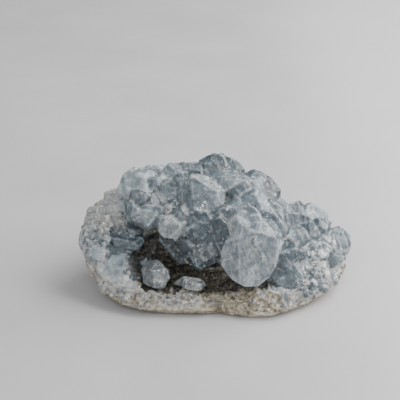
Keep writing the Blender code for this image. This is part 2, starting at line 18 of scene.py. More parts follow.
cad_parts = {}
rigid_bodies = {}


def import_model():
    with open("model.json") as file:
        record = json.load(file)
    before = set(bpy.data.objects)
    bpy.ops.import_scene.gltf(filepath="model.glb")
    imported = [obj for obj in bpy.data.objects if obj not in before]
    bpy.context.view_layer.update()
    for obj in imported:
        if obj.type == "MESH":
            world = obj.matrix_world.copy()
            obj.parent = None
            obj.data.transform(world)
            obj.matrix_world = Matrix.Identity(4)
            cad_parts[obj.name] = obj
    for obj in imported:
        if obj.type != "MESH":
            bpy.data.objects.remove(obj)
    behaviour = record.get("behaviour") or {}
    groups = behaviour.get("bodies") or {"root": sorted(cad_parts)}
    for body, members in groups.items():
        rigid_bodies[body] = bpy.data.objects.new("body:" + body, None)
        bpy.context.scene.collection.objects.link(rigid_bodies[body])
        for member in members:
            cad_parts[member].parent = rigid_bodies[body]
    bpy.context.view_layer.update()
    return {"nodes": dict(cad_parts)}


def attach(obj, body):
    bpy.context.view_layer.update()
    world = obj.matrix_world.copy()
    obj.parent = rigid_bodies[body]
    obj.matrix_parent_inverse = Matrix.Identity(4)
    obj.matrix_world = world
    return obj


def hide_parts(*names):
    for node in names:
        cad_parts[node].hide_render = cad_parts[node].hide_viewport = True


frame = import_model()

# The host rock: a thin bowl of brown weathered rock round the outside, broken open at the
# front. Its skin is tan and lumpy, its broken lip grey and grainy, and the floor of the hollow
# is stained dark brown.

MM = 0.001
ROCK_VOXEL = 0.6
ROCK_GRAIN = 2.0
ROCK_DEEPEST_PIT = 2.0
HOLLOW_STAIN = [
    ((-16.5, -9.5, 12.5), (14.5, 14.5, 10.0)),
    ((4.0, -14.5, 10.2), (19.0, 10.0, 5.0)),
]
TAN_LIP = ((9, -28, 4), (19, 16, 9))
CENTRING = Vector((0.11, -0.62, 0.0))

# Turns a place into a number that seems drawn by chance.
SCATTER = (12.9898, 78.233, 37.719)


def shape_of(node):
    """A CAD node's shape in mm, with its split corners joined again."""
    bm = bmesh.new()
    bm.from_mesh(frame["nodes"][node].data)
    bmesh.ops.scale(bm, vec=(1 / MM, 1 / MM, 1 / MM), verts=bm.verts[:])
    bmesh.ops.remove_doubles(bm, verts=bm.verts[:], dist=0.0005)
    bmesh.ops.recalc_face_normals(bm, faces=bm.faces[:])
    return bm


def add_object(name, data, group=None):
    """Puts an object in the scene, or in a group that is kept out of sight."""
    obj = bpy.data.objects.new(name, data)
    (group or bpy.context.scene.collection).objects.link(obj)
    return obj


def add_piece(name, bm, group=None):
    mesh = bpy.data.meshes.new(name)
    bm.to_mesh(mesh)
    bm.free()
    return add_object(name, mesh, group)


def apply_modifiers(obj):
    """Fixes what an object's modifiers make of it in its mesh."""
    bpy.context.view_layer.update()
    graph = bpy.context.evaluated_depsgraph_get()
    made = bpy.data.meshes.new_from_object(obj.evaluated_get(graph), depsgraph=graph)
    obj.modifiers.clear()
    obj.data = made


def remesh(obj, voxel):
    """Rebuilds a shape from small even faces, which softens its edges a little."""
    modifier = obj.modifiers.new("even faces", "REMESH")
    modifier.mode = "VOXEL"
    modifier.voxel_size = voxel
    apply_modifiers(obj)


def points_of(obj):
    """An object's points and their normals, as arrays."""
    mesh = obj.data
    points = np.empty(len(mesh.vertices) * 3, np.float32)
    mesh.vertices.foreach_get("co", points)
    normals = np.empty(len(mesh.vertices) * 3, np.float32)
    mesh.vertex_normals.foreach_get("vector", normals)
    return points.reshape(-1, 3), normals.reshape(-1, 3)


def set_points(obj, points):
    obj.data.vertices.foreach_set("co", np.ascontiguousarray(points, np.float32).ravel())
    obj.data.update()


def add_measures(obj, **measures):
    """Gives each point of an object the numbers that its finish reads."""
    for name, values in measures.items():
        layer = obj.data.attributes.new(name, "FLOAT", "POINT")
        spread = np.broadcast_to(values, len(obj.data.vertices))
        layer.data.foreach_set("value", np.ascontiguousarray(spread, np.float32))


def lumps(points, size, seed, octaves=2):
    """Smooth noise from about -1 to 1 at each point, with lumps of this size."""
    shift = Vector((7.3 * seed, 3.1 * seed, 5.7 * seed))
    out = np.empty(len(points), np.float32)
    for i, p in enumerate(points.tolist()):
        out[i] = noise.fractal(Vector(p) / size + shift, 0.6, 2.0, octaves)
    return out


def grains(points, size, seed, warp=0.3):
    """For grains of this size, at each point: how far it is from the nearest seam, 0 on the
    seam, the grain's own number from 0 to 1, and how the grain's tilted face rises there."""
    shift = Vector((2.9 * seed, 4.7 * seed, 1.3 * seed))
    gap, own, rise = (np.empty(len(points), np.float32) for _ in range(3))
    for i, p in enumerate(points.tolist()):
        place = Vector(p) / size + shift
        bend = [noise.noise(place * 1.7 + Vector((9.3, -1.5, -7.9)) * axis) for axis in range(3)]
        place += warp * Vector(bend)
        near, spots = noise.voronoi(place)
        spot = spots[0]
        number = (spot.x * SCATTER[0] + spot.y * SCATTER[1] + spot.z * SCATTER[2]) % 1.0
        way = Vector((math.sin(40 * number), math.cos(57 * number), math.sin(93 * number)))
        gap[i], own[i], rise[i] = near[1] - near[0], number, (place - spot).dot(way)
    return gap, own, rise


def inside(points, middle, half, power=3.2):
    """1 well inside a rounded block, falling to 0 at its surface."""
    away = np.abs(points - np.array(Vector(middle) + CENTRING)) / np.array(half)
    return np.clip(3.5 * (1 - (away**power).sum(1) ** (1 / power)), 0, 1)


def inside_any(points, blocks):
    return np.maximum.reduce([inside(points, *block) for block in blocks])


def shape_lists(node):
    """The corners of a CAD node's shape in mm, and its faces."""
    mesh = frame["nodes"][node].data
    return [v.co / MM for v in mesh.vertices], [tuple(f.vertices) for f in mesh.polygons]


def away_from(points, node):
    """The distance of each point from a CAD node's surface."""
    tree = BVHTree.FromPolygons(*shape_lists(node))
    return np.array([tree.find_nearest(Vector(p))[3] for p in points.tolist()])


def smooth(low, high, values):
    """0 below low and 1 above high, with a soft rise between."""
    share = np.clip((values - low) / (high - low), 0, 1)
    return share * share * (3 - 2 * share)


def to_metres(obj, name, smooth_faces=True):
    """Ends the work on a shape in mm."""
    obj.data.transform(Matrix.Scale(MM, 4))
    obj.name = obj.data.name = name
    for face in obj.data.polygons:
        face.use_smooth = smooth_faces


rock = add_piece("host_rock_look", shape_of("host_rock"))
remesh(rock, ROCK_VOXEL)
points, normals = points_of(rock)
x, y, z = points.T
upward = normals[:, 2]

# The rind is what faces outward or down.
outward = points[:, :2] / np.linalg.norm(points[:, :2], axis=1)[:, None]
faces_out = (normals[:, :2] * outward).sum(1)
rind = smooth(0.05, 0.5, faces_out + 0.15 * lumps(points, 4, 3)) + smooth(-0.2, -0.6, upward)

# The broken part is the front, and the front of the right end, above the top of the rind.
wide = lumps(points, 6.5, 4, 3)
rind_top = 3.4 - 1.4 * smooth(-8, 6, x) + 1.6 * smooth(-26, -40, x)
broken_front = np.maximum(smooth(-6, -14, y), smooth(33, 40, x) * smooth(12, 6, y))
broken_front *= smooth(-0.7, 0.7, z + 0.9 * wide - rind_top)
broken_front *= smooth(-0.85, -0.5, upward) * smooth(0.97, 0.8, -normals[:, 0])
rind = np.clip(rind, 0, 1) * (1 - broken_front)

# The dark floor of the hollow has a ragged edge.
stain = inside_any(points, HOLLOW_STAIN)
stain = np.clip(stain + 0.5 * lumps(points, 2.6, 5) + 0.5 * wide * (stain < 1), 0, 1)
stain *= smooth(4.5, 7.0, z)

# Broken rock is pitted between its grains and crumbs, and the rind less. Nothing is cut away
# next to the flat patch that it lies on or under the celestite.
gap, own, rise = grains(points, ROCK_GRAIN, 1)
crumbs = 0.5 + 0.5 * lumps(points, 3.0, 6, 3)
loose = np.clip(broken_front + smooth(0.5, 0.9, upward), 0, 1)
depth = (0.25 + 0.85 * loose) * (0.5 - 0.7 * gap + 1.1 * rise + 0.5 * own)
depth += (0.5 + 0.8 * loose) * crumbs + (0.35 + 0.25 * loose) * (0.6 + 0.6 * wide)
depth *= smooth(0.15, 1.4, z) * smooth(0.4, 2.4, away_from(points, "crystal_cluster"))
set_points(rock, points - normals * np.clip(depth, 0, ROCK_DEEPEST_PIT)[:, None])
add_measures(
    rock,
    rind=rind,
    tan=np.clip(0.08 + 0.45 * wide + 0.75 * inside(points, *TAN_LIP), 0, 1),
    stain=stain,
    grain=own,
    seam=1 - np.clip(gap * 2.2, 0, 1),
)
to_metres(rock, "host_rock_look")


class Shade:
    """A number or colour that varies over a surface. Arithmetic on numbers adds Math nodes."""

    def __init__(self, socket):
        self.socket = socket

    def maths(self, operation, *values):
        tree = self.socket.id_data
        made = tree.nodes.new("ShaderNodeMath")
        made.operation = operation
        for slot, value in zip(made.inputs, values):
            if isinstance(value, Shade):
                tree.links.new(value.socket, slot)
            else:
                slot.default_value = value
        return Shade(made.outputs[0])

    def __add__(self, other):
        return self.maths("ADD", self, other)

    __radd__ = __add__

    def __sub__(self, other):
        return self.maths("SUBTRACT", self, other)

    def __rsub__(self, other):
        return self.maths("SUBTRACT", other, self)

    def __mul__(self, other):
        return self.maths("MULTIPLY", self, other)

    __rmul__ = __mul__

    def clamped(self):
        return self.maths("MINIMUM", self.maths("MAXIMUM", self, 0.0), 1.0)


class Finish:
    """A material in the making."""

    def __init__(self, name):
        self.material = bpy.data.materials.new(name)
        self.material.use_nodes = True
        self.tree = self.material.node_tree
        self.tree.nodes.clear()
        place = self.add("ShaderNodeTexCoord")
        self.place = Shade(place.outputs["Object"])
        in_mm = {0: self.place, "Scale": 1 / MM}
        scaled = self.add("ShaderNodeVectorMath", {"operation": "SCALE"}, in_mm)
        self.place_mm = Shade(scaled.outputs["Vector"])

    def add(self, kind, settings=None, sockets=None):
        """Adds a node: its settings first, then the values or links of its sockets."""
        made = self.tree.nodes.new(kind)
        for setting, value in (settings or {}).items():
            if setting == "stops":
                ramp = made.color_ramp
                while len(ramp.elements) < len(value):
                    ramp.elements.new(0.5)
                for stop, (position, colour) in zip(ramp.elements, value):
                    stop.position = position
                    stop.color = (*colour, 1.0)
            else:
                setattr(made, setting, value)
        for socket, value in (sockets or {}).items():
            slot = made.inputs[socket]
            if isinstance(value, Shade):
                self.tree.links.new(value.socket, slot)
            elif hasattr(slot.default_value, "__len__") and len(slot.default_value) == 4:
                slot.default_value = (*value, 1.0)
            else:
                slot.default_value = value
        return made

    def measure(self, name):
        return Shade(self.add("ShaderNodeAttribute", {"attribute_name": name}).outputs["Fac"])

    def noise(self, size, detail=3.0, roughness=0.55, shift=0.0, stretch=0.0, tall=1.0):
        """Noise from about 0.25 to 0.75, with lumps of this size in mm. A shift tells one noise
        from another, and lets it be drawn out upward, where tall is above 1."""
        sockets = {
            "Vector": self.place_mm,
            "Scale": 1 / size,
            "Detail": detail,
            "Roughness": roughness,
            "Distortion": stretch,
        }
        if shift:
            moves = {0: self.place_mm, 1: (1.0, 1.0, 1.0 / tall), 2: (shift,) * 3}
            moved = self.add("ShaderNodeVectorMath", {"operation": "MULTIPLY_ADD"}, moves)
            sockets["Vector"] = Shade(moved.outputs["Vector"])
        return Shade(self.add("ShaderNodeTexNoise", {}, sockets).outputs["Fac"])

    def cells(self, size, feature="F1", output="Distance"):
        sockets = {"Vector": self.place_mm, "Scale": 1 / size}
        return Shade(self.add("ShaderNodeTexVoronoi", {"feature": feature}, sockets).outputs[output])

    def step(self, value, low, high):
        """0 below low and 1 above high, with a soft rise between."""
        made = self.add(
            "ShaderNodeMapRange",
            {"interpolation_type": "SMOOTHSTEP"},
            {"Value": value, "From Min": low, "From Max": high},
        )
        return Shade(made.outputs["Result"])

    def mix(self, share, first, second):
        made = self.add("ShaderNodeMix", {"data_type": "RGBA"}, {0: share, 6: first, 7: second})
        return Shade(made.outputs[2])

    def ramp(self, value, stops):
        return Shade(self.add("ShaderNodeValToRGB", {"stops": stops}, {"Fac": value}).outputs["Color"])

    def relief(self, height, distance_mm, strength=1.0, onto=None):
        sockets = {"Height": height, "Distance": distance_mm * MM, "Strength": strength}
        if onto is not None:
            sockets["Normal"] = onto
        return Shade(self.add("ShaderNodeBump", {}, sockets).outputs["Normal"])

    def surface(self, **sockets):
        named = {name.replace("_", " "): value for name, value in sockets.items()}
        return Shade(self.add("ShaderNodeBsdfPrincipled", {}, named).outputs["BSDF"])

    def end(self, surface, volume=None):
        sockets = {"Surface": surface}
        if volume is not None:
            sockets["Volume"] = volume
        self.add("ShaderNodeOutputMaterial", {}, sockets)
        return self.material


def crust(finish, coarse, speck, stops, net_size, net_share):
    """The nearly black skin of the hollow, with a net of brown lines across it."""
    net = finish.step(finish.cells(net_size, "DISTANCE_TO_EDGE") + (speck - 0.5) * 0.5, 0.09, 0.0)
    net = net * finish.step(coarse, 0.40, 0.52)
    return finish.mix(net * net_share, finish.ramp(speck, stops), (0.27, 0.225, 0.155))


def wear(obj, material):
    """Makes this the only material of an object."""
    obj.data.materials.clear()
    obj.data.materials.append(material)


finish = Finish("weathered_rock")
coarse = finish.noise(5.0, 4)
fine = finish.noise(0.9, 4, 0.65, shift=11)
speck = finish.noise(1.6, 5, 0.7, shift=23)
grain, seam = finish.measure("grain"), finish.measure("seam")
tan = finish.ramp(
    coarse * 0.45 + fine * 0.45 + grain * 0.1,
    [
        (0.35, (0.10, 0.08, 0.054)),
        (0.45, (0.37, 0.315, 0.215)),
        (0.54, (0.62, 0.555, 0.415)),
        (0.64, (0.88, 0.83, 0.70)),
    ],
)
sugar = finish.ramp(
    fine * 0.5 + coarse * 0.2 + grain * 0.3,
    [
        (0.27, (0.15, 0.15, 0.14)),
        (0.42, (0.50, 0.495, 0.48)),
        (0.54, (0.76, 0.755, 0.74)),
        (0.70, (0.93, 0.925, 0.91)),
    ],
)
dark = crust(
    finish,
    coarse,
    speck,
    [
        (0.42, (0.010, 0.010, 0.009)),
        (0.51, (0.06, 0.056, 0.048)),
        (0.58, (0.24, 0.21, 0.155)),
        (0.68, (0.54, 0.50, 0.42)),
    ],
    net_size=2.8,
    net_share=0.55,
)
stained = finish.measure("tan") * 0.6 + (coarse - 0.5) * 1.8 + (fine - 0.5) * 1.2
stained = stained + (speck - 0.5) * 0.8 + (grain - 0.5) * 0.35 + seam * 0.1
stained = finish.step(stained, 0.16, 0.36)
lip = finish.mix(stained, sugar, tan)
lip = finish.mix(finish.step(speck, 0.45, 0.37) * 0.85, lip, (0.05, 0.044, 0.034))
glint = finish.step(finish.cells(1.3, output="Color"), 0.74, 0.8)
lip = finish.mix(glint * 0.6, lip, (0.86, 0.85, 0.82))
colour = finish.mix(finish.measure("rind"), lip, tan)
darkened = finish.step(finish.measure("stain") + (fine - 0.5) * 0.8, 0.25, 0.6)
colour = finish.mix(darkened, colour, dark)
# Painted shade: the seams between grains are darkened.
colour = finish.mix(seam * 0.35, colour, (0.10, 0.09, 0.075))
bumps = finish.relief(coarse + speck, 1.1, 0.9)
bumps = finish.relief(fine + finish.cells(0.8) * 0.5, 0.55, 1.0, onto=bumps)
surface = finish.surface(Base_Color=colour, Roughness=0.55 + fine * 0.5, Normal=bumps)
wear(rock, finish.end(surface))
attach(rock, "root")
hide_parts("host_rock")

# The massive celestite: the layer that lines the rock and carries the crystals. It is white
# to pale blue and sugary where it is broken through at the left and right, stained nearly black
# in the hollow, and one with the crystals that grew from it.

OUTLINE_RADIUS = [
    *(49.0, 49.5, 46.5, 41.0, 36.5, 33.5),
    *(32.5, 33.5, 36.5, 40.5, 45.0, 48.5),
    *(49.8, 49.5, 46.0, 41.0, 35.0, 31.0),
    *(29.5, 32.5, 37.5, 39.0, 42.0, 45.5),
]
RIM_HEIGHT = [
    *(8.0, 9.0, 12.0, 16.0, 20.0, 23.0),
    *(25.0, 26.0, 26.0, 26.0, 25.0, 24.0),
    *(21.0, 12.0, 5.5, 3.8, 3.4, 3.6),
    *(3.6, 3.6, 3.6, 3.0, 3.2, 5.0),
]
WALL_THICKNESS = [
    *(2.4, 2.6, 3.0, 3.2, 3.5, 3.5),
    *(3.5, 3.5, 3.5, 3.2, 3.0, 2.6),
    *(2.4, 2.4, 2.6, 4.0, 8.0, 9.0),
    *(9.0, 8.0, 7.0, 4.0, 2.6, 2.4),
]
LIP_RISE = [
    *(0.6, 0.6, 0.6, 0.6, 0.6, 0.6),
    *(0.6, 0.6, 0.6, 0.6, 0.6, 0.6),
    *(0.6, 0.6, 1.0, 3.8, 5.0, 5.0),
    *(4.8, 4.6, 3.6, 1.2, 0.6, 0.6),
]
FLOOR_HEIGHT = [
    *(4.0, 4.0, 5.0, 6.0, 7.0, 7.0),
    *(7.0, 7.0, 7.0, 6.0, 6.0, 5.0),
    *(5.0, 5.0, 5.0, 8.5, 9.8, 9.8),
    *(9.8, 9.4, 6.5, 2.0, 2.0, 3.0),
]
BED_TOP = 12.0
BED_UNDERSIDE = -2.0
MASSIVE_VOXEL = 0.55
MASSIVE_GROWN = 0.06
MASSIVE_DEEPEST_PIT = 1.4
ROCK_JOINT_FILL = 0.35
SUGAR_GRAIN = 1.9
BROKEN_GRAIN = 5.2
KNOB_GRAIN = 3.0
CELESTITE_IOR = 1.62
SWELLINGS = {
    "mound_core": ((-7, 8, 22), (27, 21, 17), 2),
    "mound_shoulder": ((-24, 6, 22), (17.5, 18, 13), 2),
    "left_wall": ((-41.0, -1.5, 15), (10.0, 13.5, 12.5), 3),
    "left_foot": ((-33.5, -10, 9), (8.5, 9, 6.5), 2),
    "right_bank": ((26.5, 4, 9), (20.5, 22, 11), 3),
    "right_core": ((20, 0, 19), (10, 12, 9), 2),
    "right_foot": ((30, -10, 6), (13, 12, 6), 2),
    "front_core": ((9, -8, 18), (11, 9, 11), 2),
}
SWELLING_ROUGHNESS = 0.9
SWELLING_GRAIN = 6.0
DARK_HOLLOW = [
    ((-18.0, -8.5, 16.0), (15.0, 17.0, 12.5)),
    ((4, -13, 10.4), (21, 13, 7.0)),
]
BLUE_SHADED_RECESS = [((-33, -10, 22), (7.6, 9.5, 7.2))]
BLUE_WALL = ((-41, -9, 13), (12, 16, 14))
CREAM_CRUMBS = ((18, -18.5, 11.5), (4.5, 7.0, 5.5))


def cut_with(obj, operation, other):
    modifier = obj.modifiers.new(operation, "BOOLEAN")
    modifier.operation = operation
    modifier.solver = "MANIFOLD"
    if isinstance(other, bpy.types.Collection):
        modifier.operand_type = "COLLECTION"
        modifier.collection = other
    else:
        modifier.object = other


def round_the_piece(values, angle):
    place = (angle % math.tau) / math.tau * len(values)
    first = int(place) % len(values)
    share = place - int(place)
    return values[first] * (1 - share) + values[(first + 1) % len(values)] * share


def bed_point(angle, turn):
    """The low dome of celestite on the rock. The turn is 0 under it, 1 at its edge, 2 on top."""
    radius = round_the_piece(OUTLINE_RADIUS, angle) - 0.7 * round_the_piece(WALL_THICKNESS, angle)
    out = Vector((math.cos(angle), math.sin(angle), 0))
    if turn <= 1.0:
        return out * radius * turn + Vector((0, 0, BED_UNDERSIDE))
    rim = round_the_piece(RIM_HEIGHT, angle) + round_the_piece(LIP_RISE, angle)
    rim = max(rim, round_the_piece(FLOOR_HEIGHT, angle))
    share = (2 - turn) * math.pi / 2
    height = rim + (BED_TOP - rim) * math.cos(share) + MASSIVE_GROWN
    return out * (radius * math.sin(share)) + Vector((0, 0, height))


def soft_lumps(point, size, seed):
    shifted = point / size + Vector((seed * 7.3, seed * 3.1, seed * 5.7))
    return noise.noise(shifted) + 0.5 * noise.noise(shifted * 2.1)


bm = bmesh.new()
bmesh.ops.create_uvsphere(bm, u_segments=48, v_segments=20, radius=1.0)
for vert in bm.verts:
    direction = vert.co.normalized()
    turn = math.acos(max(-1.0, min(1.0, -direction.z))) / (math.pi / 2)
    vert.co = bed_point(math.atan2(direction.y, direction.x), turn) + CENTRING
bmesh.ops.remove_doubles(bm, verts=bm.verts[:], dist=0.0001)
bmesh.ops.triangulate(bm, faces=bm.faces[:])
bmesh.ops.recalc_face_normals(bm, faces=bm.faces[:])
massive = add_piece("massive_celestite", bm)
swellings = bpy.data.collections.new("swellings")
for seed, (middle, half, fineness) in enumerate(SWELLINGS.values()):
    bm = bmesh.new()
    bmesh.ops.create_icosphere(bm, subdivisions=fineness, radius=1.0)
    for vert in bm.verts:
        out = vert.co.normalized()
        place = Vector(middle) + Vector([c * h for c, h in zip(out, half)])
        grown = SWELLING_ROUGHNESS * soft_lumps(place, SWELLING_GRAIN, seed) + MASSIVE_GROWN
        vert.co = place + out * grown + CENTRING
    bmesh.ops.recalc_face_normals(bm, faces=bm.faces[:])
    add_piece("swelling", bm, swellings)
cluster = add_piece("cluster_as_made", shape_of("crystal_cluster"))
cut_with(massive, "UNION", swellings)
cut_with(massive, "INTERSECT", cluster)
apply_modifiers(massive)
remesh(massive, MASSIVE_VOXEL)
points, normals = points_of(massive)
x, y, z = points.T
soft = lumps(points, 4.0, 7, 3)

# It is broken in sugary grains on larger tilted breaks, and in round knobs at the upper left.
gap, own, rise = grains(points, SUGAR_GRAIN, 2)
big_gap, big_own, big_rise = grains(points, BROKEN_GRAIN, 3)
knobs = smooth(22, 27, z) * smooth(-30, -36, x)
knob_gap = grains(points, KNOB_GRAIN, 4)[0]
depth = 0.45 * (0.7 - 0.8 * gap + 0.8 * rise) + 0.6 * (0.5 + 1.3 * big_rise) * (1 - knobs)
depth += 0.2 * (0.5 + 0.5 * soft) + 0.7 * knobs * (0.9 - knob_gap)

# Next to the rock it fills the joint.
to_rock = away_from(points, "host_rock")
free = smooth(0.5, 1.6, to_rock)
depth = np.clip(depth, 0, MASSIVE_DEEPEST_PIT) * free - ROCK_JOINT_FILL * (1 - free)
set_points(massive, points - normals * depth[:, None])

# Where it is stained dark, where it is blue rather than white, where it is dirty, and the recess that
# is painted a deeper blue, partly as shade.
stain = np.clip(inside_any(points, DARK_HOLLOW) + 0.3 * soft, 0, 1)
stain *= smooth(-33, -28, x + 0.25 * (z - 8))
blue = 0.55 * big_own + 0.52 * inside(points, *BLUE_WALL) - 0.06 + 0.3 * lumps(points, 5.5, 9)
blue -= 0.45 * smooth(22, 28, z) + 0.3 * smooth(10, 16, x) * smooth(14, 10, z)
dirt = smooth(4.0, 0.0, to_rock) + 0.75 * knobs + inside(points, *CREAM_CRUMBS)
add_measures(
    massive,
    stain=stain,
    recess=np.clip(inside_any(points, BLUE_SHADED_RECESS) + 0.2 * soft, 0, 1),
    blue=np.clip(blue, 0, 1),
    seam=1 - np.clip(gap * 2.2, 0, 1),
    big_seam=1 - np.clip(big_gap * 4.5, 0, 1),
    grain=own,
    dirt=np.clip(dirt, 0, 1),
)
to_metres(massive, "massive_celestite")

finish = Finish("massive_celestite")
coarse = finish.noise(3.2, 4, 0.6)
fine = finish.noise(0.8, 4, 0.65, shift=7)
speck = finish.noise(1.4, 5, 0.7, shift=31)
seam, big_seam, grain = finish.measure("seam"), finish.measure("big_seam"), finish.measure("grain")
white = finish.ramp(
    fine * 0.55 + coarse * 0.2 + grain * 0.25,
    [
        (0.25, (0.50, 0.505, 0.505)),
        (0.42, (0.70, 0.70, 0.695)),
        (0.58, (0.85, 0.84, 0.835)),
        (0.75, (0.94, 0.93, 0.925)),
    ],
)
pale_blue = finish.ramp(
    coarse * 0.6 + fine * 0.25 + grain * 0.15,
    [
        (0.30, (0.20, 0.26, 0.30)),
        (0.46, (0.33, 0.40, 0.44)),
        (0.60, (0.48, 0.545, 0.575)),
        (0.75, (0.70, 0.735, 0.75)),
    ],
)
beige = finish.ramp(
    fine * 0.7 + grain * 0.3,
    [(0.32, (0.24, 0.22, 0.18)), (0.5, (0.41, 0.39, 0.34)), (0.70, (0.60, 0.58, 0.54))],
)
black = crust(
    finish,
    coarse,
    speck,
    [
        (0.42, (0.009, 0.009, 0.009)),
        (0.49, (0.06, 0.057, 0.05)),
        (0.57, (0.34, 0.30, 0.22)),
        (0.67, (0.70, 0.65, 0.54)),
    ],
    net_size=3.0,
    net_share=0.5,
)
deep_blue_and_shade = finish.ramp(
    coarse, [(0.35, (0.05, 0.072, 0.085)), (0.55, (0.12, 0.16, 0.18)), (0.72, (0.24, 0.29, 0.31))]
)
bluish = finish.step(finish.measure("blue") + (coarse - 0.5) * 0.7 - big_seam * 0.2, 0.36, 0.52)
colour = finish.mix(bluish, white, pale_blue)
dirt = finish.step(finish.measure("dirt") + (coarse - 0.5) * 1.4 + seam * 0.15, 0.35, 0.85)
colour = finish.mix(dirt * 0.75, colour, beige)
# The recess is a deeper blue: partly its own colour, partly painted shade.
colour = finish.mix(finish.step(finish.measure("recess"), 0.1, 0.5) * 0.9, colour, deep_blue_and_shade)
darkened = finish.step(finish.measure("stain") + (fine - 0.5) * 0.8, 0.22, 0.55)
colour = finish.mix(darkened, colour, black)
# Painted shade: the seams between grains are darkened, less where it is blue.
shaded_seams = (seam * 0.28 + big_seam * 0.3) * (1 - bluish * 0.5)
colour = finish.mix(shaded_seams, colour, (0.22, 0.225, 0.225))
bumps = finish.relief(coarse + speck, 0.8, 0.8)
bumps = finish.relief(fine + finish.cells(0.9) * 0.6, 0.5, 1.0, onto=bumps)
surface = finish.surface(
    Base_Color=colour,
    Roughness=0.25 + finish.noise(1.1, 2, shift=3) * 0.5,
    Normal=bumps,
    IOR=CELESTITE_IOR,
    Subsurface_Weight=0.25,
    Subsurface_Radius=(1.0, 1.1, 1.15),
    Subsurface_Scale=1.2 * MM,
)
wear(massive, finish.end(surface))
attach(massive, "root")
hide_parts("crystal_cluster")

# The large crystals: blocky, clear to milky celestite, pale grey-blue, each with a flat
# table face, sloping faces round it and worn edges, painted paler partly as a highlight. They crowd
# and run into one another, with thin cream seams where they meet.

# How far each crystal has grown past its drawn size into its neighbours.
CROWDING = 1.165

# Share of the sloping faces that are broad. The rest are narrow.
BROAD_FACES = 0.36
WEDGE_FACE = 39.4
DOME_FACE = 52.0
PRISM_FACE = 38.0

CRYSTAL_VOXEL = 0.51
EDGE_ROUNDING = 0.09
JOINT_FILLET = 0.12

# Faces are a little wavy, and sink in a groove where crystals meet.
FACE_WAVE = 0.08
GROOVE_DEPTH = 0.3
GROOVE_WIDTH = 0.3

# How far from an edge its wear and painted highlight, and from a joint its dirt, fall to a third.
EDGE_WEAR_AND_HIGHLIGHT = 0.55
JOINT_DIRT = 0.6

# How far from a crystal's face a point is still drawn to it, and still counts as on it.
NEAR_A_FACE = 0.6
ON_A_FACE = 0.3

# How pale and how milky a crystal is where its row doesn't say.
ORDINARY_LOOK = (0.45, 0.45)
TONE_SEED = 5
FILL_TONES = (-0.25, 0.3)
FACE_TONES = 0.05
MOST_FACES = 64

# How cream, rather than blue, the few cream ones are.
CREAM = {"white_crystal": 0.5, "white_neighbour": 0.4, "great_front": 0.28}

